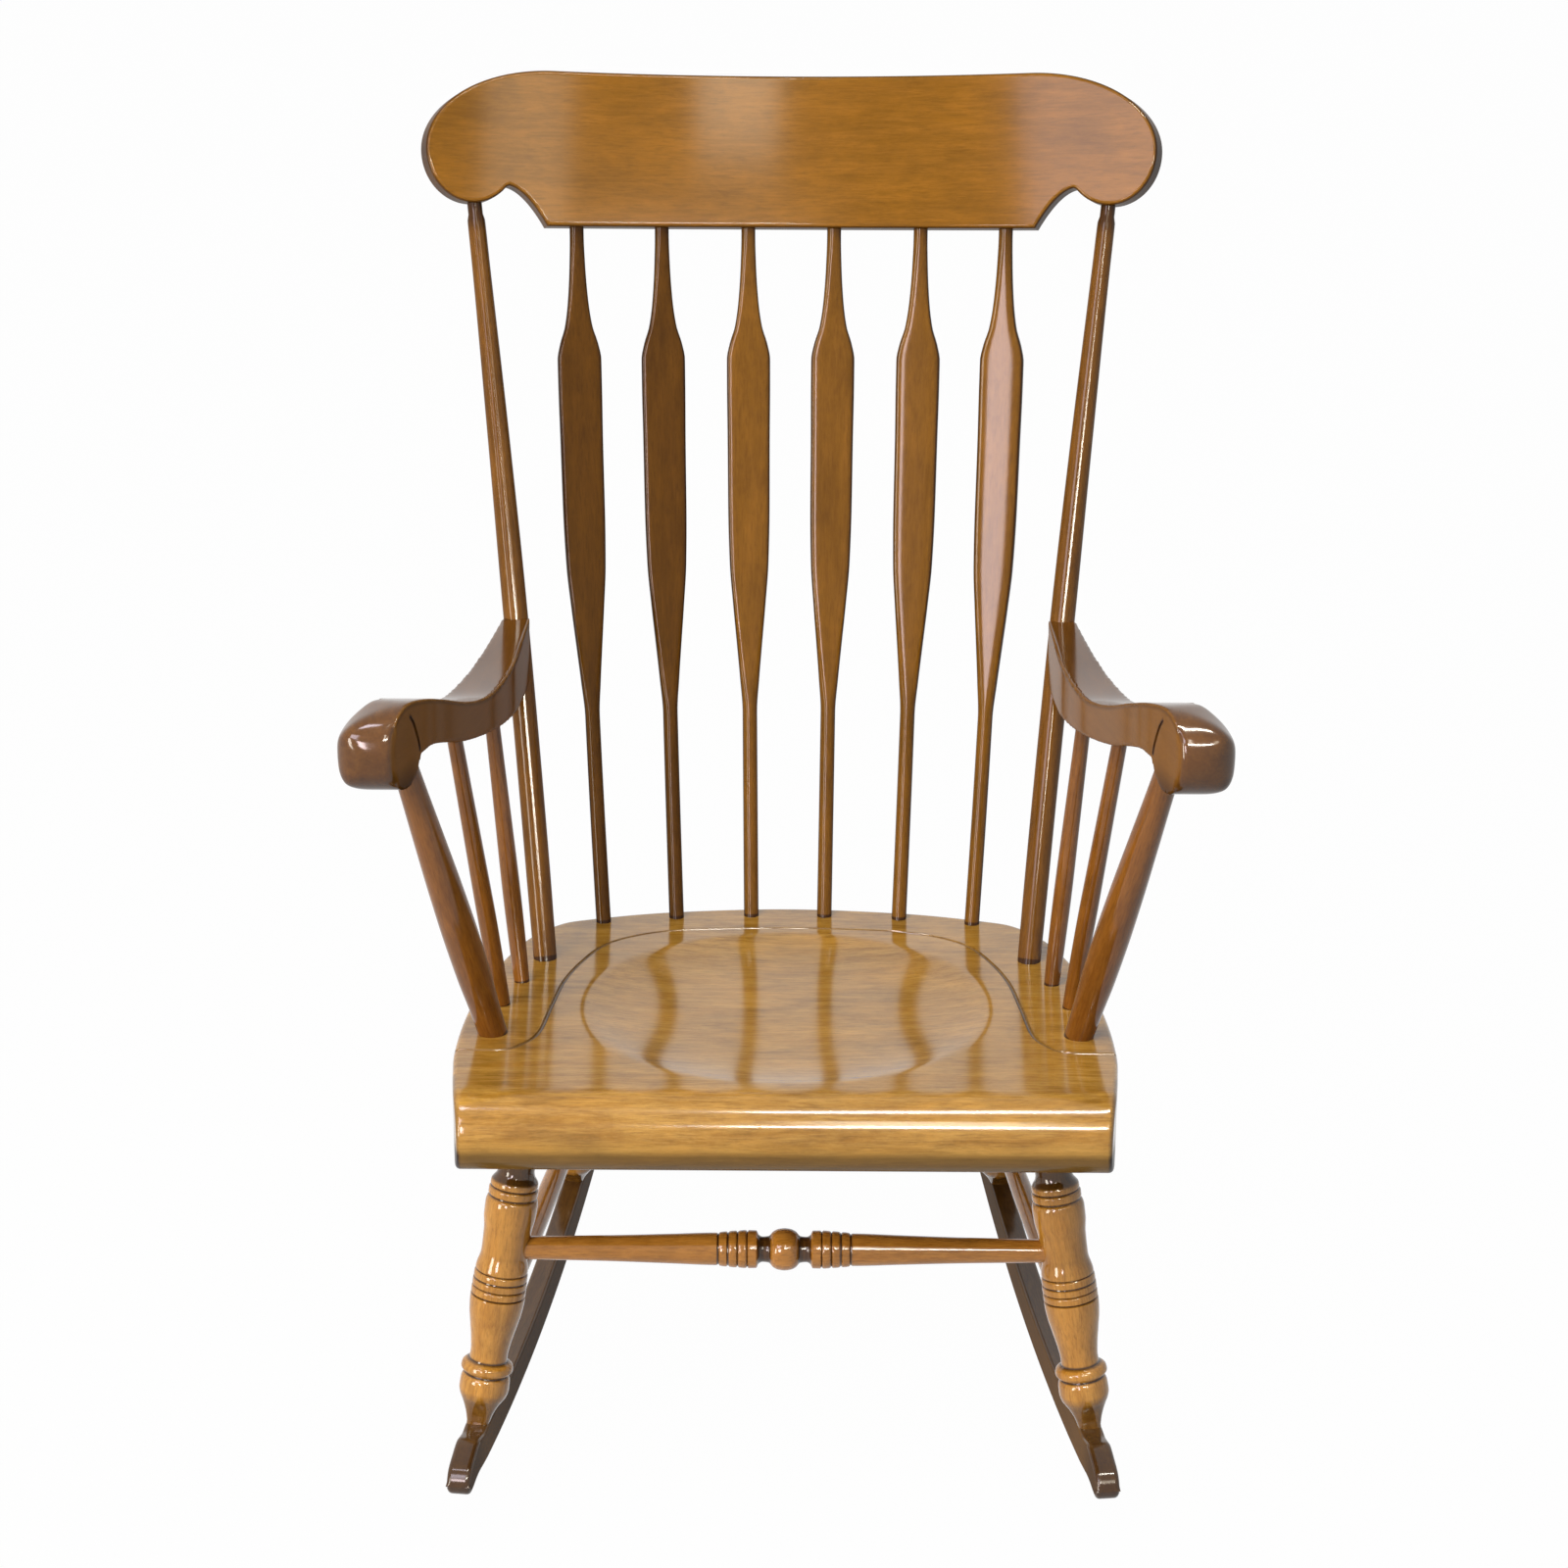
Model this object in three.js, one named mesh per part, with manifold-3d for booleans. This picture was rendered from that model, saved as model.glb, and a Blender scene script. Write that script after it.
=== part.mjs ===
// A Boston rocking chair: turned legs and stretchers, a saddled plank seat with a rolled front,
// scrolled arms, and a high back of six arrow spindles under a wide bent crest rail.
// Millimetres, +Z up, +Y to the back of the chair, +X to the right as seen from the front.

import * as THREE from 'three';
import { mergeVertices } from 'three/addons/utils/BufferGeometryUtils.js';
import Module from 'manifold-3d';

const wasm = await Module();
wasm.setup();

// Joinery
const fit = 0.3;
const overrun = 6;
const weld = 1e-4;

// Seat plank, measured along its own slope
const seatWidth = 540;
const seatDepth = 440;
const seatThickness = 38;
const seatHeight = 371;
const seatFall = 35;
const rollReach = 41;
const rollRadius = 33;
const rollDepth = 52;
const rollEase = 7;
const dishDepth = 9;
const dishWidth = 348;
const dishLength = 366;
const grooveWidth = 3.4;
const socketDepth = 27;
const seatSideShares = [
  [0.935, -0.14], [0.947, -0.09], [0.965, -0.02], [0.984, 0.075], [0.998, 0.17], [1, 0.32], [0.985, 0.48],
  [0.945, 0.64], [0.88, 0.79], [0.79, 0.885], [0.68, 0.925], [0.4, 0.975], [0, 1],
];
const grooveShares = [
  [1.04, 0.168], [0.86, 0.168], [0.795, 0.2], [0.755, 0.262], [0.737, 0.4], [0.716, 0.54],
  [0.673, 0.655], [0.61, 0.755], [0.51, 0.815], [0.367, 0.851], [0.115, 0.867], [0, 0.868],
];
const dishCentreShare = 0.423;
const dishSteps = [0, 0.35, 0.6, 0.8, 0.92, 1];
const dishFloorPower = 5;
const dishRimPower = 1.2;

// Back: two posts, six arrow spindles and the crest rail they carry
const postLength = 668;
const postLeanDegrees = 19.4;
const postSplayDegrees = 5.9;
const postRadius = 10.8;
const postBow = 17;
const postTenonRadius = 6.4;
const postTenonLength = 34;
const postBaseShares = [0.798, 0.673];
const postRadiusShares = [
  [0, 0.95], [0.12, 1], [0.45, 1.02], [0.7, 0.9], [0.93, 0.74], [0.985, 0.72], [0.99, 0.6], [1, 0.6],
];

const crestOverhang = 46;
const crestHeight = 136;
const crestThickness = 23;
const crestBendRadius = 880;
const crestLeanDegrees = 15;
const crestDrop = 14.5;
const crestArch = 2.5;
const crestEase = 2.2;
const crestLobeReach = 42;
const crestLobeDepth = 46;
const crestCornerShare = 0.669;
const crestCuspShare = 0.78;
const crestCuspHeightShare = 0.255;
const crestCovePower = 1.8;
const crestShoulderShare = 0.65;
const crestLobeHeightShare = 0.475;

const arrowWidth = 39.5;
const arrowThickness = 10.5;
const arrowNeckWidth = 12.6;
const arrowNeckThickness = 9.4;
const arrowBaseRadius = 6.8;
const arrowTenonLength = 20;
const arrowBow = 24;
const arrowSquareShare = 0.55;
const arrowBaseShares = [[0.126, 0.948], [0.383, 0.933], [0.631, 0.902]];
const arrowTopShares = [0.117, 0.353, 0.585];
// Place up the spindle, share of the full width, share of the full thickness
const arrowBladeShares = [
  [0.3, 0, 0], [0.35, 0.17, 0.3], [0.4, 0.38, 0.6], [0.46, 0.64, 0.85], [0.52, 0.86, 1],
  [0.6, 0.95, 1], [0.7, 0.97, 1], [0.78, 1, 1], [0.815, 1, 1], [0.838, 0.8, 0.95],
  [0.862, 0.45, 0.8], [0.9, 0.2, 0.5], [0.95, 0.05, 0.2], [0.99, 0, 0],
];

// Arms and what carries them
const armLength = 431;
const armSweep = 109;
const armHeight = 205;
const armReach = 28;
const armSocketDepth = 14;
// Upper edge from the rear end to the hand, then under it to the rear end again
const armTopShares = [
  [1.006, 0.49], [0.9, 0.485], [0.69, 0.47], [0.53, 0.49], [0.437, 0.55], [0.344, 0.66],
  [0.251, 0.8], [0.158, 0.93], [0.085, 0.995], [0.04, 0.96], [0.01, 0.85], [0, 0.7],
];
const armUnderHandShares = [
  [0, 0.7], [0.009, 0.54], [0.035, 0.43], [0.07, 0.4], [0.1, 0.45], [0.122, 0.57],
];
const armUnderShares = [
  [0.122, 0.57], [0.17, 0.57], [0.24, 0.49], [0.32, 0.38], [0.437, 0.26],
  [0.577, 0.15], [0.74, 0.056], [0.88, 0.012], [0.955, 0.005],
];
// Plan of the arm as shares of its length and of half the width over the hands
const armFlare = 66.5;
const armSpread = seatWidth + 2 * armFlare;
const armInnerShares = [
  [1.006, 0.687], [0.763, 0.689], [0.647, 0.698], [0.53, 0.716], [0.39, 0.749],
  [0.195, 0.798], [0.08, 0.841], [0, 0.872],
];
const armOuterShares = [
  [0, 0.93], [0.012, 0.972], [0.04, 1], [0.08, 0.993], [0.13, 0.955], [0.195, 0.909],
  [0.344, 0.86], [0.53, 0.826], [0.69, 0.797], [0.86, 0.775], [1.006, 0.76],
];
const armHandShares = [0.4, 0.997];
const armHandPlaceShare = 0.9;
const armUnderRound = 23;
const armTopRound = 52;
const armTopFall = 28;
const armPostRadius = 14.4;
const armPostBaseShares = [0.896, 0.2545];
const armPostTopShares = [0.138, 0.45];
const armPostRadiusShares = [
  [0, 0.83], [0.1, 0.87], [0.22, 0.97], [0.36, 1], [0.52, 0.955], [0.7, 0.85], [0.85, 0.75], [1, 0.67],
];
const armRodRadius = 7.8;
const armSpindleBaseShares = [[0.893, 0.406], [0.853, 0.536]];
const armSpindleTopShares = [[0.391, 0.45], [0.63, 0.37]];
const armRodShares = [
  [0, 0.86], [0.15, 0.95], [0.35, 1], [0.6, 0.93], [0.8, 0.86], [1, 0.8],
];
const screwLength = 46;
const screwRadius = 2.1;
const screwHeadRadius = 4.1;
const screwHeadHeight = 2.6;
const plugRadius = 4.7;
const plugThickness = 4;
const screwHeightShare = 0.29;

// Legs, rockers and stretchers
const legRadius = 22.8;
const legNeckShare = 0.66;
const frontLegTopShares = [0.78, 0.193];
const rearLegTopShares = [0.689, 0.8];
const frontFootPlace = 32;
const rearFootPlace = 445;
const footTenonRadius = 6;
const footTenonLength = 18;
// Place up the leg, share of its greatest radius, and how square the section is
const legShares = [
  [0, 0.42, 0.6], [0.025, 0.5, 0.5], [0.05, 0.63, 0.3], [0.068, 0.76, 0.1], [0.078, 0.84, 0],
  [0.1, 0.91, 0], [0.125, 0.905, 0], [0.139, 0.85, 0], [0.145, 0.79, 0], [0.151, 0.88, 0],
  [0.16, 0.955, 0], [0.172, 0.93, 0], [0.181, 0.82, 0], [0.186, 0.7, 0], [0.205, 0.69, 0],
  [0.24, 0.74, 0], [0.29, 0.86, 0], [0.335, 0.965, 0], [0.37, 1, 0], [0.378, 0.995, 0],
  [0.382, 0.94, 0], [0.386, 0.995, 0], [0.402, 0.995, 0], [0.406, 0.94, 0], [0.41, 0.995, 0],
  [0.426, 0.99, 0], [0.43, 0.935, 0], [0.434, 0.985, 0], [0.45, 0.975, 0], [0.454, 0.92, 0],
  [0.458, 0.96, 0], [0.51, 0.845, 0], [0.575, 0.87, 0], [0.62, 0.945, 0], [0.655, 0.955, 0],
  [0.672, 0.91, 0], [0.678, 0.85, 0], [0.684, 0.9, 0], [0.7, 0.9, 0], [0.705, 0.84, 0],
  [0.711, 0.87, 0], [0.722, 0.86, 0], [0.73, 0.8, 0], [0.742, 0.7, 0], [0.757, 0.66, 0],
];

const rockerRadius = 1500;
const rockerHeight = 30;
const rockerThickness = 20;
const rockerInset = 10.5;
const rockerSpread = seatWidth - 2 * rockerInset;
const rockerToeDegrees = 6.6;
const rockerLowPlace = 218;
const rockerTailPlace = 690;
const rockerTailRound = 14;
const rockerStepDegrees = 2;
const rockerStepsForward = 6;
const rockerStepsBack = 8;
// The nose, as places forward of the foot and heights above the level of the lowest point
const noseLength = 81;
const noseHeight = 48;
const noseShares = [
  [0.1, 0.88], [0.23, 0.875], [0.37, 0.94], [0.5, 1], [0.7, 0.945],
  [0.88, 0.86], [0.985, 0.7], [0.985, 0.52], [0.93, 0.4],
];

const stretcherTenonRadius = 6.6;
const stretcherTenonDepth = 12;
const frontStretcherHeight = 190;
const frontStretcherRadius = 17.4;
const shoulderGap = 3.2;
// Place out from the middle as a share of the half length, share of the ball's radius
const stretcherShares = [
  [0, 1], [0.025, 0.96], [0.045, 0.84], [0.062, 0.63], [0.085, 0.6], [0.103, 0.72], [0.108, 0.89],
  [0.14, 0.9], [0.145, 0.83], [0.15, 0.9], [0.178, 0.87], [0.183, 0.8], [0.188, 0.87], [0.215, 0.84],
  [0.22, 0.77], [0.225, 0.83], [0.253, 0.79], [0.258, 0.72], [0.263, 0.77],
  [0.45, 0.7], [0.7, 0.61], [1, 0.55],
];
const sideStretcherHeight = 120;
const sideStretcherRadius = 10;
const rearStretcherHeight = 170;
const rearStretcherRadius = 11;
const plainStretcherShares = [[0, 1], [0.3, 0.98], [0.7, 0.87], [1, 0.74]];

// The finished chair tips back on its rockers until its weight is over the contact
const restTipDegrees = 1.7;

// Facets
const seatEdgeSteps = 30;
const turnedSides = 12;
const legSides = 14;
const rearLegSides = 10;
const stickSides = 10;

const up = new THREE.Vector3(0, 0, 1);
const back = new THREE.Vector3(0, 1, 0);
const right = new THREE.Vector3(1, 0, 0);
const toPoint = (x, y, z) => new THREE.Vector3(x, y, z);

// A closed mesh, cleaned of all but its places, as a solid for joining and cutting
function toSolid(geometry) {
  const bare = new THREE.BufferGeometry();
  bare.setAttribute('position', geometry.getAttribute('position').clone());
  if (geometry.index) {
    bare.setIndex(geometry.index.clone());
  }
  const merged = mergeVertices(bare, weld);
  const places = merged.getAttribute('position');
  const index = Array.from(merged.index.array);
  const kept = [];
  let volume = 0;
  for (let i = 0; i < index.length; i += 3) {
    const [a, b, c] = [index[i], index[i + 1], index[i + 2]];
    if (a === b || b === c || c === a) {
      continue;
    }
    kept.push(a, b, c);
    const p = new THREE.Vector3().fromBufferAttribute(places, a);
    const q = new THREE.Vector3().fromBufferAttribute(places, b);
    const r = new THREE.Vector3().fromBufferAttribute(places, c);
    volume += p.dot(q.cross(r));
  }
  if (volume < 0) {
    kept.reverse();
  }
  const mesh = new wasm.Mesh({
    numProp: 3,
    vertProperties: new Float32Array(places.array),
    triVerts: new Uint32Array(kept),
  });
  return new wasm.Manifold(mesh);
}

function toGeometry(solid) {
  const mesh = solid.getMesh();
  const geometry = new THREE.BufferGeometry();
  const places = new Float32Array(mesh.numVert * 3);
  for (let i = 0; i < mesh.numVert; i += 1) {
    for (let j = 0; j < 3; j += 1) {
      places[i * 3 + j] = mesh.vertProperties[i * mesh.numProp + j];
    }
  }
  geometry.setAttribute('position', new THREE.BufferAttribute(places, 3));
  geometry.setIndex(new THREE.BufferAttribute(new Uint32Array(mesh.triVerts), 1));
  geometry.computeVertexNormals();
  return geometry;
}

// Closed skin over rings of points, each end closed by a fan
function loft(rings) {
  const count = rings[0].length;
  const places = [];
  const index = [];
  for (const ring of rings) {
    for (const point of ring) {
      places.push(point.x, point.y, point.z);
    }
  }
  for (let i = 0; i + 1 < rings.length; i += 1) {
    for (let j = 0; j < count; j += 1) {
      const a = i * count + j;
      const b = i * count + (j + 1) % count;
      index.push(a, b, b + count, a, b + count, a + count);
    }
  }
  for (const end of [0, rings.length - 1]) {
    const middle = new THREE.Vector3();
    for (const point of rings[end]) {
      middle.add(point);
    }
    middle.divideScalar(count);
    const centre = places.length / 3;
    places.push(middle.x, middle.y, middle.z);
    for (let j = 0; j < count; j += 1) {
      const a = end * count + j;
      const b = end * count + (j + 1) % count;
      index.push(...(end === 0 ? [centre, b, a] : [centre, a, b]));
    }
  }
  const geometry = new THREE.BufferGeometry();
  geometry.setAttribute('position', new THREE.Float32BufferAttribute(places, 3));
  geometry.setIndex(index);
  return geometry;
}

// Value of a share table at a place, straight between its rows
function valueAt(table, place, column) {
  let row = 0;
  while (row + 2 < table.length && table[row + 1][0] < place) {
    row += 1;
  }
  const [from, to] = [table[row], table[row + 1]];
  const t = THREE.MathUtils.clamp((place - from[0]) / (to[0] - from[0]), 0, 1);
  return THREE.MathUtils.lerp(from[column], to[column], t);
}

// Ring of a round or squared section about a point, in the plane of two directions
function ringAt(centre, across, along, halfWidth, halfDepth, square, sides) {
  const ring = [];
  for (let i = 0; i < sides; i += 1) {
    const angle = (i + 0.5) * 2 * Math.PI / sides;
    const [c, s] = [Math.cos(angle), Math.sin(angle)];
    const swell = THREE.MathUtils.lerp(1, 1 / Math.max(Math.abs(c), Math.abs(s)), square);
    ring.push(centre.clone().addScaledVector(across, c * swell * halfWidth)
      .addScaledVector(along, s * swell * halfDepth));
  }
  return ring;
}

// Own frame of a piece that runs from one point to another: Z along it, Y near the given back
function frameBetween(from, to, backward) {
  const z = to.clone().sub(from).normalize();
  const y = backward.clone().addScaledVector(z, -backward.dot(z)).normalize();
  const x = y.clone().cross(z);
  return new THREE.Matrix4().makeBasis(x, y, z).setPosition(from);
}

// Turned, bowed or flattened stick: rows of place, half width, half depth and squareness
function stick({ from, to, backward, rows, bow, sides }, grow) {
  const frame = frameBetween(from, to, backward);
  const length = from.distanceTo(to);
  const rings = rows.map(([place, halfWidth, halfDepth, square], i) => {
    const end = i === 0 ? -grow : (i === rows.length - 1 ? grow : 0);
    const share = place / length;
    const centre = toPoint(0, 4 * bow * share * (1 - share), place + end);
    return ringAt(centre, right, back, halfWidth + grow, halfDepth + grow, square, sides);
  });
  return { frame, solid: toSolid(loft(rings).applyMatrix4(frame)) };
}

const roundRows = (table, length, radius) => table.map(([place, share]) => {
  return [place * length, share * radius, share * radius, 0];
});

// Finishes
const stain = {
  seat: { color: 0xb07c36, roughness: 0.3, metalness: 0 },
  crest: { color: 0xa8783c, roughness: 0.32, metalness: 0 },
  turned: { color: 0xa9702c, roughness: 0.3, metalness: 0 },
  dark: { color: 0x6b4320, roughness: 0.34, metalness: 0 },
  steel: { color: 0x8d8c88, roughness: 0.4, metalness: 1 },
};

const chair = new THREE.Group();

function addPiece(name, solid, frame, finish) {
  const geometry = toGeometry(solid).applyMatrix4(frame.clone().invert());
  const mesh = new THREE.Mesh(geometry, new THREE.MeshStandardMaterial(finish));
  mesh.name = name;
  frame.decompose(mesh.position, mesh.quaternion, mesh.scale);
  chair.add(mesh);
}

// Seat geometry that the rest of the chair stands on
const seatSlope = Math.atan(seatFall / seatDepth);
const seatTop = (y) => seatHeight - y * Math.tan(seatSlope);
const seatUnder = (y) => seatTop(y) - seatThickness / Math.cos(seatSlope);
const seatFrame = new THREE.Matrix4().makeRotationX(-seatSlope).setPosition(0, 0, seatHeight);
function onSeat(side, [xShare, yShare]) {
  const y = yShare * seatDepth;
  return toPoint(side * xShare * seatWidth / 2, y, seatTop(y));
}
function underSeat(side, [xShare, yShare]) {
  const y = yShare * seatDepth;
  return toPoint(side * xShare * seatWidth / 2, y, seatUnder(y));
}

// Back posts
const sides = { left: -1, right: 1 };
const postLean = THREE.MathUtils.degToRad(postLeanDegrees);
const postSplay = THREE.MathUtils.degToRad(postSplayDegrees);
const postRise = postLength / Math.hypot(1, Math.tan(postLean), Math.tan(postSplay));
function postEnds(side) {
  const from = onSeat(side, postBaseShares);
  const step = toPoint(side * Math.tan(postSplay), Math.tan(postLean), 1);
  return { from, to: from.clone().addScaledVector(step, postRise) };
}
const postRows = roundRows(postRadiusShares, postLength, postRadius);
postRows.unshift([-socketDepth, postRows[0][1], postRows[0][2], 0]);
postRows.push([postLength + postTenonLength, postTenonRadius, postTenonRadius, 0]);
const postRowsFine = [];
postRows.forEach((row, i) => {
  postRowsFine.push(row);
  const next = postRows[i + 1];
  if (next && next[0] - row[0] > postLength / 8) {
    const middle = row.map((value, j) => (value + next[j]) / 2);
    postRowsFine.push(middle);
  }
});
function post(side, grow) {
  return stick({
    ...postEnds(side), backward: back, rows: postRowsFine, bow: postBow, sides: turnedSides,
  }, grow);
}

// Crest rail: a board bent about an axis that leans with the back
const crestLean = THREE.MathUtils.degToRad(crestLeanDegrees);
const crestUp = toPoint(0, Math.sin(crestLean), Math.cos(crestLean));
const crestBack = toPoint(0, Math.cos(crestLean), -Math.sin(crestLean));
const postTop = postEnds(1).to;
const crestOrigin = toPoint(0, postTop.y, postTop.z);
const postTurn = Math.asin(postTop.x / crestBendRadius);
const crestFrame = new THREE.Matrix4().makeBasis(right, crestBack, crestUp).setPosition(crestOrigin);
function onCrest(along, height, behind) {
  const turn = along / crestBendRadius;
  const radius = crestBendRadius + behind;
  return toPoint(
    radius * Math.sin(turn),
    radius * Math.cos(turn) - crestBendRadius * Math.cos(postTurn),
    height,
  ).applyMatrix4(crestFrame);
}
const crestHalf = postTurn * crestBendRadius + crestOverhang;
const crestTopAt = (along) => {
  const start = crestShoulderShare * crestHalf;
  const middle = crestLobeHeightShare * crestHeight;
  const t = Math.max(0, (along - start) / (crestHalf - start));
  return middle + (crestHeight - middle) * Math.sqrt(Math.max(0, 1 - t * t));
};
const crestLobePlace = crestHalf - crestLobeReach;
const crestUnderAt = (along) => {
  const [corner, cusp] = [crestCornerShare * crestHalf, crestCuspShare * crestHalf];
  if (along <= corner) {
    return crestArch * (1 - (along / corner) ** 2);
  }
  if (along < cusp) {
    const t = (cusp - along) / (cusp - corner);
    return crestCuspHeightShare * crestHeight * (1 - t ** crestCovePower);
  }
  const reach = Math.min(Math.abs(along - crestLobePlace) / crestLobeReach, 1);
  return crestLobeHeightShare * crestHeight - crestLobeDepth * Math.sqrt(1 - reach * reach);
};
function crestPlaces() {
  const [corner, cusp] = [crestCornerShare * crestHalf, crestCuspShare * crestHalf];
  const half = [];
  const [flatSteps, coveSteps, lobeSteps] = [7, 5, 8];
  for (let i = 0; i < flatSteps; i += 1) {
    half.push(corner * i / flatSteps);
  }
  for (let i = 0; i < coveSteps; i += 1) {
    half.push(THREE.MathUtils.lerp(corner, cusp, i / coveSteps));
  }
  for (let i = 0; i < lobeSteps; i += 1) {
    half.push(THREE.MathUtils.lerp(cusp, crestHalf, Math.sin(i * Math.PI / 2 / lobeSteps)));
  }
  const tip = crestHalf - (crestHalf - half.at(-1)) / 8;
  half.push(tip);
  return [...half.slice(1).reverse().map((value) => -value), ...half];
}
function crest() {
  const rings = crestPlaces().map((place) => {
    const along = Math.abs(place);
    const [under, over] = [crestUnderAt(along) - crestDrop, crestTopAt(along) - crestDrop];
    const ease = Math.min(crestEase, (over - under) / 3);
    const face = crestThickness / 2;
    const corners = [
      [under, ease - face], [under, face - ease], [under + ease, face], [over - ease, face],
      [over, face - ease], [over, ease - face], [over - ease, -face], [under + ease, -face],
    ];
    return corners.map(([height, behind]) => onCrest(place, height, behind));
  });
  return toSolid(loft(rings));
}

// Arrow spindles: round foot, flat blade with a shouldered top, narrow neck in the rail
function arrow(side, number, grow) {
  const along = side * arrowTopShares[number] * crestHalf;
  const from = onSeat(side, arrowBaseShares[number]);
  const to = onCrest(along, crestUnderAt(Math.abs(along)) - crestDrop, 0);
  const turn = along / crestBendRadius;
  const backward = crestBack.clone().multiplyScalar(Math.cos(turn)).addScaledVector(right, Math.sin(turn));
  const length = from.distanceTo(to);
  const neckHalf = [arrowNeckWidth / 2, arrowNeckThickness / 2];
  const rows = [-socketDepth, 0].map((place) => [place, arrowBaseRadius, arrowBaseRadius, 0]);
  for (const [place, wide, deep] of arrowBladeShares) {
    const low = place < arrowBladeShares[6][0];
    const [w0, d0] = low ? [arrowBaseRadius, arrowBaseRadius] : neckHalf;
    rows.push([
      place * length,
      THREE.MathUtils.lerp(w0, arrowWidth / 2, wide),
      THREE.MathUtils.lerp(d0, arrowThickness / 2, deep),
      deep * arrowSquareShare,
    ]);
  }
  rows.push([length + arrowTenonLength, neckHalf[0], neckHalf[1], 0]);
  return stick({ from, to, backward, rows, bow: arrowBow, sides: stickSides }, grow);
}

// Arms: a sawn side profile met by a sawn plan
const armBottom = seatHeight + armHeight;
const armPlace = (share) => share * armLength - armReach;
const armLevel = (share) => armBottom + share * armSweep;
const profilePoints = (table) => table.map(([along, level]) => {
  return new THREE.Vector2(armPlace(along), armLevel(level));
});
const planPoints = (table, side) => table.map(([along, out]) => {
  return new THREE.Vector2(side * out * armSpread / 2, armPlace(along));
});
const armUnderAt = (along) => armLevel(valueAt(armUnderShares, along, 1));
function armPoint(side, [along, share]) {
  const inner = valueAt([...armInnerShares].reverse(), along, 1);
  const outer = valueAt(armOuterShares, along, 1);
  const x = THREE.MathUtils.lerp(inner, outer, share) * armSpread / 2;
  return toPoint(side * x, armPlace(along), armUnderAt(along));
}
const smooth = (points, steps) => new THREE.SplineCurve(points).getPoints(steps);
function armBlank(side) {
  const profile = new THREE.Shape([
    ...smooth(profilePoints(armTopShares), 17).slice(0, -1),
    ...smooth(profilePoints(armUnderHandShares), 7).slice(0, -1),
    ...smooth(profilePoints(armUnderShares), 9),
  ]);
  const plan = new THREE.Shape([
    ...smooth(planPoints(armInnerShares, side), 8),
    ...smooth(planPoints(armOuterShares, side), 12),
  ]);
  const across = new THREE.ExtrudeGeometry(profile, { depth: armSpread, bevelEnabled: false });
  across.applyMatrix4(new THREE.Matrix4().makeBasis(back, up, right));
  across.translate(-armSpread / 2, 0, 0);
  const tall = new THREE.ExtrudeGeometry(plan, { depth: 2 * armSweep, bevelEnabled: false });
  tall.translate(0, 0, armBottom - armSweep / 2);
  const reach = armSpread / 2;
  const [low, high] = [armLevel(armHandShares[0]), armLevel(armHandShares[1])];
  const end = new THREE.Shape();
  end.moveTo(0, low - armSweep);
  end.lineTo(armHandPlaceShare * reach, low - armSweep);
  end.lineTo(armHandPlaceShare * reach, low);
  end.absarc(reach - armUnderRound, low + armUnderRound, armUnderRound, -Math.PI / 2, 0, false);
  end.absellipse(reach - armTopRound, high - armTopFall, armTopRound, armTopFall, 0, Math.PI / 2, false);
  end.lineTo(armHandPlaceShare * reach, high);
  end.lineTo(armHandPlaceShare * reach, high + armSweep);
  end.lineTo(0, high + armSweep);
  end.closePath();
  const options = { depth: 2 * armLength, bevelEnabled: false, curveSegments: 5 };
  const front = new THREE.ExtrudeGeometry(end, options);
  front.applyMatrix4(new THREE.Matrix4().makeBasis(right.clone().multiplyScalar(side), up, back));
  front.translate(0, -armLength, 0);
  return toSolid(across).intersect(toSolid(tall)).intersect(toSolid(front));
}
function armPost(side, grow) {
  const from = onSeat(side, armPostBaseShares);
  const to = armPoint(side, armPostTopShares);
  const length = from.distanceTo(to);
  const rows = roundRows(armPostRadiusShares, length, armPostRadius);
  rows.unshift([-socketDepth, rows[0][1], rows[0][2], 0]);
  rows.push([length + armSocketDepth, rows.at(-1)[1], rows.at(-1)[2], 0]);
  return stick({ from, to, backward: back, rows, bow: 0, sides: turnedSides }, grow);
}
function armSpindle(side, number, grow) {
  const from = onSeat(side, armSpindleBaseShares[number]);
  const to = armPoint(side, armSpindleTopShares[number]);
  const length = from.distanceTo(to);
  const rows = roundRows(armRodShares, length, armRodRadius);
  rows.unshift([-socketDepth, rows[0][1], rows[0][2], 0]);
  rows.push([length + armSocketDepth, rows.at(-1)[1], rows.at(-1)[2], 0]);
  return stick({ from, to, backward: back, rows, bow: 0, sides: stickSides }, grow);
}

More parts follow.
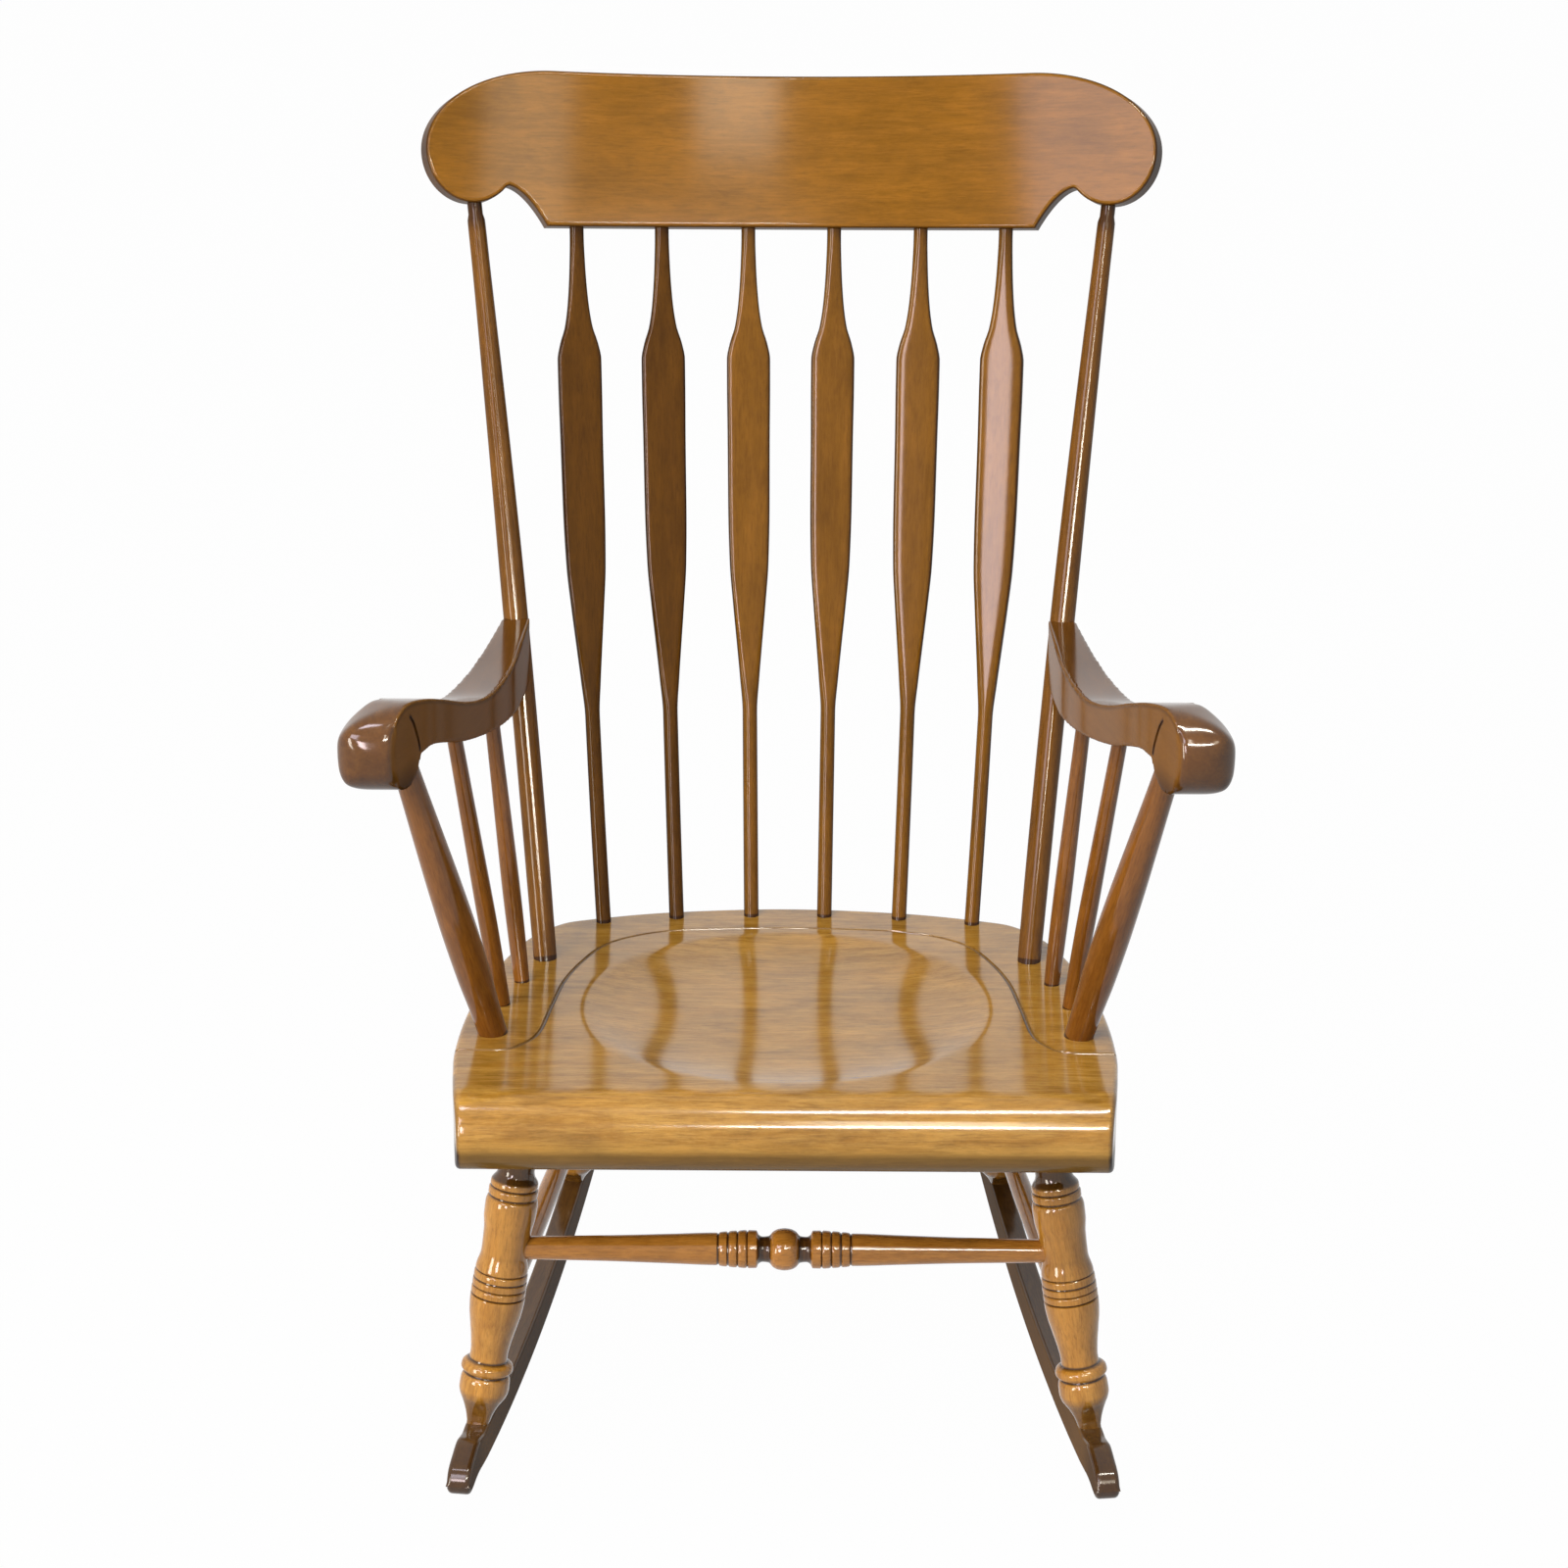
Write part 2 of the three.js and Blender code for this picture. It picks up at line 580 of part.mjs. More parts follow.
// Rockers: thin boards on edge, toed in toward the back, with a rolled nose
const rockerToe = THREE.MathUtils.degToRad(rockerToeDegrees);
const rockerX = (y) => rockerSpread / 2 - Math.tan(rockerToe) * y;
const rockerTopAt = (y) => {
  const inner = rockerRadius - rockerHeight;
  const run = (y - rockerLowPlace) / Math.cos(rockerToe);
  return rockerRadius - Math.sqrt(inner * inner - run * run);
};
function rockerFrame(side) {
  const along = toPoint(-side * Math.sin(rockerToe), Math.cos(rockerToe), 0);
  const across = along.clone().cross(up);
  return new THREE.Matrix4().makeBasis(across, along, up)
    .setPosition(side * rockerX(rockerLowPlace), rockerLowPlace, 0);
}
function rockerOutline() {
  const step = THREE.MathUtils.degToRad(rockerStepDegrees);
  const tip = THREE.MathUtils.degToRad(restTipDegrees);
  const along = (y) => (y - rockerLowPlace) / Math.cos(rockerToe);
  const tail = along(rockerTailPlace);
  const arc = (radius, from, to, steps) => {
    const points = [];
    for (let i = 0; i <= steps; i += 1) {
      const angle = THREE.MathUtils.lerp(from, to, i / steps);
      points.push(new THREE.Vector2(radius * Math.sin(angle), rockerRadius - radius * Math.cos(angle)));
    }
    return points;
  };
  const foot = along(frontFootPlace);
  const nose = noseShares.map(([forward, level]) => {
    return new THREE.Vector2(foot - forward * noseLength, level * noseHeight);
  });
  const noseEnd = nose.at(-1);
  const overRadius = rockerRadius - rockerHeight;
  const under = [];
  for (let i = -rockerStepsForward; i <= rockerStepsBack; i += 1) {
    const angle = tip + (i + 0.5) * step;
    const point = arc(rockerRadius, angle, angle, 1)[0];
    if (point.x > noseEnd.x + rockerTailRound && point.x < tail - rockerTailRound) {
      under.push(point);
    }
  }
  const tailAngle = Math.asin(tail / rockerRadius);
  const footAngle = Math.asin(foot / overRadius);
  const over = arc(overRadius, tailAngle, footAngle, 16);
  const tailMiddle = arc(rockerRadius - rockerHeight / 2, tailAngle, tailAngle, 1)[0];
  const tailUnder = arc(rockerRadius, tailAngle, tailAngle, 1)[0];
  const round = new THREE.Vector2(rockerTailRound, 0).rotateAround(new THREE.Vector2(), tailAngle);
  return new THREE.Shape([
    ...under,
    tailUnder.clone().sub(round),
    tailUnder.clone().add(tailMiddle).divideScalar(2),
    tailMiddle,
    over[0].clone().add(tailMiddle).divideScalar(2),
    over[0].clone().sub(round),
    ...over.slice(1),
    ...smooth([over.at(-1), ...nose], 18).slice(1),
  ]);
}
function rockerBlank(side, thickness, raise) {
  const geometry = new THREE.ExtrudeGeometry(rockerOutline(), { depth: thickness, bevelEnabled: false });
  geometry.translate(0, raise, -thickness / 2);
  const turn = new THREE.Matrix4().makeBasis(back, up, right);
  return toSolid(geometry.applyMatrix4(turn).applyMatrix4(rockerFrame(side)));
}

// Legs: turned above, squared at the foot to the rocker's thickness
const footPoint = (side, y) => toPoint(side * rockerX(y), y, rockerTopAt(y));
function legEnds(side, place, topShares) {
  return { from: footPoint(side, place), to: underSeat(side, topShares) };
}
function leg(side, place, topShares, roundSides, grow) {
  const { from, to } = legEnds(side, place, topShares);
  const length = from.distanceTo(to);
  const rows = legShares.map(([along, share, square]) => {
    return [along * length, share * legRadius, share * legRadius, square];
  });
  rows.unshift([-rockerHeight / 3, rows[0][1], rows[0][2], rows[0][3]]);
  rows.push([length + socketDepth, legNeckShare * legRadius, legNeckShare * legRadius, 0]);
  const sideways = toPoint(side * Math.cos(rockerToe), Math.sin(rockerToe), 0);
  const backward = up.clone().cross(sideways).multiplyScalar(side);
  return stick({ from, to, backward, rows, bow: 0, sides: roundSides }, grow);
}
function footTenon(side, place, grow) {
  const top = footPoint(side, place);
  const from = top.clone().addScaledVector(up, -footTenonLength);
  const to = top.clone().addScaledVector(up, footTenonRadius);
  const radius = footTenonRadius;
  const rows = [[0, radius, radius, 0], [from.distanceTo(to), radius, radius, 0]];
  return stick({ from, to, backward: back, rows, bow: 0, sides: stickSides }, grow).solid;
}
const legSpots = {
  front: [frontFootPlace, frontLegTopShares, legSides],
  rear: [rearFootPlace, rearLegTopShares, rearLegSides],
};
function onLeg(side, [place, topShares], height) {
  const { from, to } = legEnds(side, place, topShares);
  return from.clone().lerp(to, (height - from.z) / (to.z - from.z));
}
function legRadiusAt([place, topShares], height) {
  const { from, to } = legEnds(1, place, topShares);
  return legRadius * valueAt(legShares, (height - from.z) / (to.z - from.z), 1);
}

// Stretchers: tenons in the legs, shoulders a little short of them
function stretcher(start, end, startRadius, endRadius, table, radius, roundSides, grow) {
  const span = start.distanceTo(end);
  const [low, high] = [startRadius + shoulderGap, span - endRadius - shoulderGap];
  const middle = (low + high) / 2;
  const half = (high - low) / 2;
  const body = [];
  for (const [out, share] of [...table].reverse()) {
    body.push([middle - out * half, share * radius, share * radius, 0]);
  }
  for (const [out, share] of table.slice(1)) {
    body.push([middle + out * half, share * radius, share * radius, 0]);
  }
  const tenon = stretcherTenonRadius;
  const rows = [
    [startRadius - stretcherTenonDepth, tenon, tenon, 0],
    [low, tenon, tenon, 0],
    ...body.map((row, i) => (i === 0 ? [row[0] + fit, ...row.slice(1)] : row)),
    [high + fit, tenon, tenon, 0],
    [span - endRadius + stretcherTenonDepth, tenon, tenon, 0],
  ];
  return stick({ from: start, to: end, backward: back, rows, bow: 0, sides: roundSides }, grow);
}
function frontStretcher(grow) {
  const [start, end] = [-1, 1].map((side) => onLeg(side, legSpots.front, frontStretcherHeight));
  const radius = legRadiusAt(legSpots.front, frontStretcherHeight);
  return stretcher(start, end, radius, radius, stretcherShares, frontStretcherRadius, turnedSides, grow);
}
function rearStretcher(grow) {
  const [start, end] = [-1, 1].map((side) => onLeg(side, legSpots.rear, rearStretcherHeight));
  const radius = legRadiusAt(legSpots.rear, rearStretcherHeight);
  return stretcher(start, end, radius, radius, plainStretcherShares, rearStretcherRadius, stickSides, grow);
}
function sideStretcher(side, grow) {
  const start = onLeg(side, legSpots.front, sideStretcherHeight);
  const end = onLeg(side, legSpots.rear, sideStretcherHeight);
  const [a, b] = [legSpots.front, legSpots.rear].map((spot) => legRadiusAt(spot, sideStretcherHeight));
  return stretcher(start, end, a, b, plainStretcherShares, sideStretcherRadius, stickSides, grow);
}

// Screw through each post into the end of its arm, under a wooden plug
function screwLine(side) {
  const level = armLevel(screwHeightShare);
  const { from, to } = postEnds(side);
  const share = (level - from.z) / (to.z - from.z);
  const centre = from.clone().lerp(to, share).add(toPoint(0, 4 * postBow * share * (1 - share), 0));
  const head = centre.clone().addScaledVector(back, postRadius - plugThickness);
  return { head, tip: head.clone().addScaledVector(back, -screwLength) };
}
function screw(side, grow) {
  const { head, tip } = screwLine(side);
  const rows = [
    [0, screwRadius / 2, screwRadius / 2, 0],
    [screwRadius * 2, screwRadius, screwRadius, 0],
    [screwLength - screwHeadHeight, screwRadius, screwRadius, 0],
    [screwLength, screwHeadRadius, screwHeadRadius, 0],
  ];
  return stick({ from: tip, to: head, backward: up, rows, bow: 0, sides: stickSides }, grow);
}
function plug(side, grow, extra) {
  const { head } = screwLine(side);
  const from = head.clone().addScaledVector(back, fit * 2 - grow);
  const to = head.clone().addScaledVector(back, plugThickness + extra);
  const rows = [[0, plugRadius, plugRadius, 0], [from.distanceTo(to), plugRadius, plugRadius, 0]];
  return stick({ from, to, backward: up, rows, bow: 0, sides: stickSides }, grow);
}

// Seat plank: its front is rolled to a half round, with a block below to fill the round out
function seatBlank() {
  const start = rollRadius - rollReach;
  const blockBack = rollDepth - rollReach;
  const profile = new THREE.Shape();
  profile.moveTo(seatDepth + overrun, 0);
  profile.lineTo(start, 0);
  profile.absarc(start, -rollRadius, rollRadius, Math.PI / 2, 1.5 * Math.PI, false);
  profile.lineTo(blockBack, -2 * rollRadius);
  profile.lineTo(blockBack, -seatThickness - rollEase);
  profile.lineTo(blockBack + rollEase, -seatThickness);
  profile.lineTo(seatDepth + overrun, -seatThickness);
  profile.closePath();
  const options = { depth: seatWidth + 2 * overrun, bevelEnabled: false, curveSegments: 7 };
  const along = new THREE.ExtrudeGeometry(profile, options);
  along.applyMatrix4(new THREE.Matrix4().makeBasis(back, up, right));
  along.translate(-seatWidth / 2 - overrun, 0, 0);
  const half = seatSideShares.map(([x, y]) => new THREE.Vector2(x * seatWidth / 2, y * seatDepth));
  const mirrored = half.slice(0, -1).reverse().map((point) => new THREE.Vector2(-point.x, point.y));
  const outline = new THREE.Shape(smooth([...half, ...mirrored], seatEdgeSteps));
  const plan = new THREE.ExtrudeGeometry(outline, { depth: 4 * rollRadius, bevelEnabled: false });
  plan.translate(0, 0, -3 * rollRadius);
  return toSolid(along.applyMatrix4(seatFrame)).intersect(toSolid(plan.applyMatrix4(seatFrame)));
}
function seatDish() {
  const rim = dishSteps.map((out) => {
    return new THREE.Vector2(out, -dishDepth * (1 - out ** dishFloorPower) ** dishRimPower);
  });
  rim.push(new THREE.Vector2(1, overrun), new THREE.Vector2(0, overrun));
  const lens = new THREE.LatheGeometry(rim, 26);
  lens.applyMatrix4(new THREE.Matrix4().makeRotationX(Math.PI / 2));
  lens.scale(dishWidth / 2, dishLength / 2, 1);
  lens.translate(0, dishCentreShare * seatDepth, 0);
  return toSolid(lens.applyMatrix4(seatFrame));
}
function seatGroove() {
  const half = grooveShares.map(([x, y]) => toPoint(x * seatWidth / 2, y * seatDepth, 0));
  const mirrored = half.slice(0, -1).reverse().map((point) => toPoint(-point.x, point.y, 0));
  const path = new THREE.CatmullRomCurve3([...half, ...mirrored]);
  const section = new THREE.Shape();
  section.absarc(0, 0, grooveWidth / 2, 0, 2 * Math.PI, false);
  const options = { steps: 34, extrudePath: path, bevelEnabled: false, curveSegments: 2 };
  return toSolid(new THREE.ExtrudeGeometry(section, options).applyMatrix4(seatFrame));
}

// Put the chair together, each host cut by what enters it
let seat = seatBlank().subtract(seatDish()).subtract(seatGroove());
let rail = crest();
for (const [name, side] of Object.entries(sides)) {
  const body = post(side, 0);
  const drill = screw(side, fit).solid.add(plug(side, fit, overrun).solid);
  addPiece(`back_post_${name}`, body.solid.subtract(drill), body.frame, stain.turned);
  seat = seat.subtract(post(side, fit).solid);
  rail = rail.subtract(post(side, fit).solid);

  const armFrame = new THREE.Matrix4().setPosition(armPoint(side, armPostTopShares));
  let arm = armBlank(side).subtract(post(side, fit).solid).subtract(screw(side, fit).solid);
  const support = armPost(side, 0);
  arm = arm.subtract(armPost(side, fit).solid);
  seat = seat.subtract(armPost(side, fit).solid);
  addPiece(`arm_post_${name}`, support.solid, support.frame, stain.turned);
  armSpindleBaseShares.forEach((_, i) => {
    const spindle = armSpindle(side, i, 0);
    const grown = armSpindle(side, i, fit).solid;
    arm = arm.subtract(grown);
    seat = seat.subtract(grown);
    addPiece(`arm_spindle_${name}_${i + 1}`, spindle.solid, spindle.frame, stain.turned);
  });
  addPiece(`arm_${name}`, arm, armFrame, stain.dark);

  const bolt = screw(side, 0);
  addPiece(`arm_screw_${name}`, bolt.solid, bolt.frame, stain.steel);
  const cap = plug(side, 0, 0);
  addPiece(`arm_screw_plug_${name}`, cap.solid, cap.frame, stain.turned);

  let rocker = rockerBlank(side, rockerThickness, 0);
  for (const [spot, [place, topShares, count]] of Object.entries(legSpots)) {
    const turned = leg(side, place, topShares, count, 0);
    seat = seat.subtract(leg(side, place, topShares, count, fit).solid);
    const trimmed = turned.solid.subtract(rockerBlank(side, 3 * rockerThickness, fit));
    const tenon = footTenon(side, place, 0);
    let whole = trimmed.add(tenon).subtract(sideStretcher(side, fit).solid);
    whole = whole.subtract(spot === 'front' ? frontStretcher(fit).solid : rearStretcher(fit).solid);
    addPiece(`${spot}_leg_${name}`, whole, turned.frame, stain.turned);
    rocker = rocker.subtract(footTenon(side, place, fit));
  }
  addPiece(`rocker_${name}`, rocker, rockerFrame(side), stain.dark);
  const bar = sideStretcher(side, 0);
  addPiece(`side_stretcher_${name}`, bar.solid, bar.frame, stain.turned);
}
const arrowSpots = [[-1, 2], [-1, 1], [-1, 0], [1, 0], [1, 1], [1, 2]];
arrowSpots.forEach(([side, number], i) => {
  const spindle = arrow(side, number, 0);
  const grown = arrow(side, number, fit).solid;
  seat = seat.subtract(grown);
  rail = rail.subtract(grown);
  addPiece(`arrow_spindle_${i + 1}`, spindle.solid, spindle.frame, stain.crest);
});
addPiece('seat', seat, seatFrame, stain.seat);
addPiece('crest_rail', rail, crestFrame, stain.crest);
const frontBar = frontStretcher(0);
addPiece('front_stretcher', frontBar.solid, frontBar.frame, stain.turned);
const rearBar = rearStretcher(0);
addPiece('rear_stretcher', rearBar.solid, rearBar.frame, stain.turned);

// Roll the chair back on its rockers to where it rests, then centre it on the floor
const rolled = new THREE.Group();
rolled.add(chair);
chair.position.set(0, -rockerLowPlace, -rockerRadius);
rolled.rotation.x = -THREE.MathUtils.degToRad(restTipDegrees);
rolled.position.z = rockerRadius;
const group = new THREE.Group();
group.add(rolled);
group.updateMatrixWorld(true);
const extent = new THREE.Box3().setFromObject(group, true);
rolled.position.y -= (extent.min.y + extent.max.y) / 2;
rolled.position.z -= extent.min.z;
group.updateMatrixWorld(true);

export default group;
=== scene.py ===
"""A Boston rocking chair in stained, lacquered birch, dressed round its CAD frame."""
import math

import bmesh
import bpy
import numpy as np
from mathutils import Matrix, Vector


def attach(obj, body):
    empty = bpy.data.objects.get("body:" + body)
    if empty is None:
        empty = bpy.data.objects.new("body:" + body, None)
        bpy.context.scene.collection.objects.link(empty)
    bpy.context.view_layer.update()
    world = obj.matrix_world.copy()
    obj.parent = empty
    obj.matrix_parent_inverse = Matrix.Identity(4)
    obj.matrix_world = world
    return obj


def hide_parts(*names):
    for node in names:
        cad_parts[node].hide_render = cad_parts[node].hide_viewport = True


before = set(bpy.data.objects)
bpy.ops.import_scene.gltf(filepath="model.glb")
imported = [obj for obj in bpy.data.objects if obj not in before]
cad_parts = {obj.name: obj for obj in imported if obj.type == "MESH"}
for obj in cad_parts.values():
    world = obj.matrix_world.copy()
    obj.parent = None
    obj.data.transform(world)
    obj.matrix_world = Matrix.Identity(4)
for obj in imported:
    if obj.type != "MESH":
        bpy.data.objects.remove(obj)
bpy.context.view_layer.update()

MM = 0.001

# Sizes in millimetres, in the chair's own upright frame: x right, y back and z up from the seat's front.
SEAT_WIDTH, SEAT_DEPTH, SEAT_THICKNESS = 540, 440, 38
SEAT_HEIGHT, SEAT_FALL = 371, 35
ROLL_REACH, ROLL_RADIUS, ROLL_BLOCK, ROLL_RAMP = 41, 33, 52, 7
DISH_DEPTH, DISH_WIDTH, DISH_LENGTH, DISH_CENTRE = 9, 348, 366, 186
GROOVE_RADIUS = 1.9
SEAT_EDGE_EASE, SEAT_UNDER_EASE = 4.5, 3
# How far each stick runs on past the face where it is seen to end
SOCKET_DEPTH, POST_TENON, ARROW_TENON, ARM_TENON = 20, 20, 12, 8
LEG_TENON, FOOT_TENON, STRETCHER_TENON = 12, 7, 4

POST_LENGTH, POST_RADIUS, POST_BOW = 668, 10.8, 17
POST_LEAN, POST_SPLAY = math.radians(19.4), math.radians(5.9)
CREST_OVERHANG, CREST_HEIGHT, CREST_THICKNESS = 46, 136, 23
CREST_BEND, CREST_LEAN = 880, math.radians(15)
CREST_DROP, CREST_ARCH, CREST_EASE = 14.5, 2.5, 2.8
ARROW_WIDTH, ARROW_THICKNESS = 39.5, 10.5
ARROW_NECK_WIDTH, ARROW_NECK_THICKNESS, ARROW_FOOT_RADIUS = 12.6, 9.4, 6.8
ARROW_BOW = 24

ARM_LENGTH, ARM_SWEEP, ARM_HEIGHT, ARM_REACH, ARM_FLARE = 431, 109, 205, 28, 66.5
ARM_FINENESS, ARM_EASING, HAND_EASING, HAND_OUTER = 1.3, 7, 60, 290
HAND_ROUND, HAND_FALL, HAND_UNDER = 52, 28, 23
ARM_POST_RADIUS, ARM_ROD_RADIUS = 14.4, 7.8

LEG_RADIUS = 22.8
FRONT_STRETCHER_RADIUS, REAR_STRETCHER_RADIUS, SIDE_STRETCHER_RADIUS = 17.4, 11, 10
FRONT_STRETCHER_HEIGHT, REAR_STRETCHER_HEIGHT, SIDE_STRETCHER_HEIGHT = 190, 170, 120
ROCKER_RADIUS, ROCKER_HEIGHT, ROCKER_THICKNESS, ROCKER_INSET = 1500, 30, 20, 10.5
ROCKER_TOE, ROCKER_LOW, ROCKER_TAIL = math.radians(6.6), 218, 690
ROCKER_EASE, NOSE_EASE = 2.5, 4
# The CAD's underside is a run of flats, which the round stays just above.
ROCKER_CLEAR = 0.26
FRONT_FOOT, REAR_FOOT = 32, 445
NOSE_LENGTH, NOSE_HEIGHT = 81, 48

# The chair's rest on its rockers, which turns the upright frame into the frame of the CAD.
REST_TIP = math.radians(1.7)
REST_SHIFT = Vector((0, -321.332636, 6.929488))
REST = Matrix.Translation(REST_SHIFT) @ Matrix.Rotation(-REST_TIP, 4, "X")

UP, BACK, RIGHT = Vector((0, 0, 1)), Vector((0, 1, 0)), Vector((1, 0, 0))
SIDES = {"left": -1, "right": 1}


def rising(value, start, run, height=1.0):
    """0 up to the start, then evenly up to the height over the run."""
    return np.clip((value - start) / run, 0, 1) * height


def falling(value, end, run, height=1.0):
    """The height at first, and evenly down to 0 over the run that leads to the end."""
    return np.clip((end - value) / run, 0, 1) * height


def soft_curve(table, places, column=1):
    """Smooth value through the rows of a table, with no overshoot between them."""
    x = np.array([row[0] for row in table], float)
    y = np.array([row[column] for row in table], float)
    step, rise = np.diff(x), np.diff(y) / np.diff(x)
    slope = np.zeros_like(y)
    slope[0], slope[-1] = rise[0], rise[-1]
    for i in range(1, len(x) - 1):
        if rise[i - 1] * rise[i] > 0:
            before, after = 2 * step[i] + step[i - 1], step[i] + 2 * step[i - 1]
            slope[i] = (before + after) / (before / rise[i - 1] + after / rise[i])
    places = np.clip(places, x[0], x[-1])
    i = np.clip(np.searchsorted(x, places) - 1, 0, len(x) - 2)
    t = (places - x[i]) / step[i]
    return (
        y[i] * (1 + 2 * t) * (1 - t) ** 2
        + slope[i] * step[i] * t * (1 - t) ** 2
        + y[i + 1] * t * t * (3 - 2 * t)
        - slope[i + 1] * step[i] * t * t * (1 - t)
    )


def spline(points, count):
    """Evenly numbered points on a smooth curve through given points."""
    p = np.array(points, float)
    out = []
    for place in np.linspace(0, len(p) - 1, count):
        i = min(int(place), len(p) - 2)
        t = place - i
        a, b, c, d = p[max(i - 1, 0)], p[i], p[i + 1], p[min(i + 2, len(p) - 1)]
        out.append(b + 0.5 * t * (c - a + t * (2 * a - 5 * b + 4 * c - d + t * (3 * (b - c) + d - a))))
    return np.array(out)


def square_to(path):
    """Unit vectors square to a flat path, to the left of its run."""
    along = np.gradient(path, axis=0)
    length = np.linalg.norm(along, axis=1)[:, None]
    return np.stack([-along[:, 1], along[:, 0]], 1) / np.maximum(length, 1e-9)


# Materials


def linear(colour):
    """Linear colour from an sRGB hex value."""
    parts = [int(colour[i : i + 2], 16) / 255 for i in (0, 2, 4)]
    return tuple(c / 12.92 if c <= 0.04045 else ((c + 0.055) / 1.055) ** 2.4 for c in parts) + (1,)


def add(tree, kind, links=None, **settings):
    """A node with its settings and its links: links maps an input to a value or to another node's output."""
    node = tree.nodes.new(kind)
    for name, value in settings.items():
        setattr(node, name, value)
    for name, value in (links or {}).items():
        if isinstance(value, bpy.types.NodeSocket):
            tree.links.new(value, node.inputs[name])
        else:
            node.inputs[name].default_value = value
    return node


def new_material(name):
    material = bpy.data.materials.new(name)
    material.use_nodes = True
    material.node_tree.nodes.clear()
    return material, material.node_tree


# The dark brown that stain settles to, which also serves as painted shade in grooves, under things and along
# edges.
STAIN_AND_SHADE_COLOUR = "240F05"


def lacquered_birch(name, pale, body, deep, gloss, polish=0.1, figure=1.0):
    """Birch, stained and lacquered: short fine flecks along the grain under one clear glossy skin."""
    material, tree = new_material(name)
    grain = add(tree, "ShaderNodeAttribute", attribute_name="grain").outputs["Vector"]
    stained = add(tree, "ShaderNodeAttribute", attribute_name="stain").outputs["Fac"]
    rubbed_and_lit = add(tree, "ShaderNodeAttribute", attribute_name="rubbed_and_lit").outputs["Fac"]

    def noise(scale, detail, rough, bend=0.0):
        space = add(tree, "ShaderNodeMapping", {"Vector": grain, "Scale": scale}).outputs[0]
        links = {"Vector": space, "Scale": 1, "Detail": detail, "Roughness": rough, "Distortion": bend}
        return add(tree, "ShaderNodeTexNoise", links).outputs["Fac"]

    def ramp(value, low, high, to_low=0.0, to_high=1.0):
        ends = {"Value": value, "From Min": low, "From Max": high, "To Min": to_low, "To Max": to_high}
        return add(tree, "ShaderNodeMapRange", ends).outputs[0]

    def blend(share, first, second):
        inputs = {"Factor": share, "A": first, "B": second}
        return add(tree, "ShaderNodeMix", inputs, data_type="RGBA").outputs["Result"]

    # Pores are about 0.2 mm across and are drawn 1.5 mm wide and 16 mm long so that they show in the render.
    flecks = noise((650, 650, 60), 4, 0.7)
    # Growth rings cut lengthwise make streaks about 8 mm apart that run 80 mm or more.
    bands = noise((120, 120, 12), 7, 0.8, 0.5)
    # Birch takes stain unevenly, in clouds 40 to 100 mm across.
    clouds = noise((24, 24, 12), 6, 0.72, 0.3)
    ground = blend(ramp(clouds, 0.3, 0.66, 0.3, 1), linear(deep), linear(body))
    streaked = blend(ramp(bands, 0.42, 0.75, 0, 0.5 * figure), ground, linear(pale))
    flecked = blend(ramp(flecks, 0.48, 0.7, 0, 0.5 * figure), streaked, linear(deep))
    # Where it is worn dull it is also painted a little paler, as painted light.
    paler = blend(ramp(rubbed_and_lit, 0, 1, 0, 0.5), flecked, linear(pale))
    # Stain and painted shade both darken the wood towards that dark brown; stained holds how far.
    shaded = blend(stained, paler, linear(STAIN_AND_SHADE_COLOUR))
    skin = add(tree, "ShaderNodeMath", {0: rubbed_and_lit, 1: -0.85 * gloss, 2: gloss}, operation="MULTIPLY_ADD")
    relief = add(tree, "ShaderNodeBump", {"Height": flecks, "Strength": 0.05, "Distance": 0.0004})
    surface = {
        "Base Color": shaded,
        "Roughness": ramp(clouds, 0.2, 0.8, 0.42, 0.56),
        "Normal": relief.outputs[0],
        "IOR": 1.5,
        "Specular IOR Level": 0.0,
        "Coat Weight": skin.outputs[0],
        "Coat Roughness": polish,
        "Coat IOR": 1.5,
    }
    shader = add(tree, "ShaderNodeBsdfPrincipled", surface)
    add(tree, "ShaderNodeOutputMaterial", {"Surface": shader.outputs[0]})
    return material


def zinc_plated_steel():
    """Plain wood-screw steel: grey, softly bright, with faint turning marks."""
    material, tree = new_material("zinc_plated_screw_steel")
    place = add(tree, "ShaderNodeTexCoord").outputs["Object"]
    # Turning marks are about 0.3 mm apart.
    marks = add(tree, "ShaderNodeTexNoise", {"Vector": place, "Scale": 3000, "Detail": 1})
    dull = add(tree, "ShaderNodeMapRange", {"Value": marks.outputs["Fac"], "To Min": 0.3, "To Max": 0.5})
    metal = {"Base Color": linear("A9A8A3"), "Metallic": 1, "Roughness": dull.outputs[0]}
    shader = add(tree, "ShaderNodeBsdfPrincipled", metal)
    add(tree, "ShaderNodeOutputMaterial", {"Surface": shader.outputs[0]})
    return material


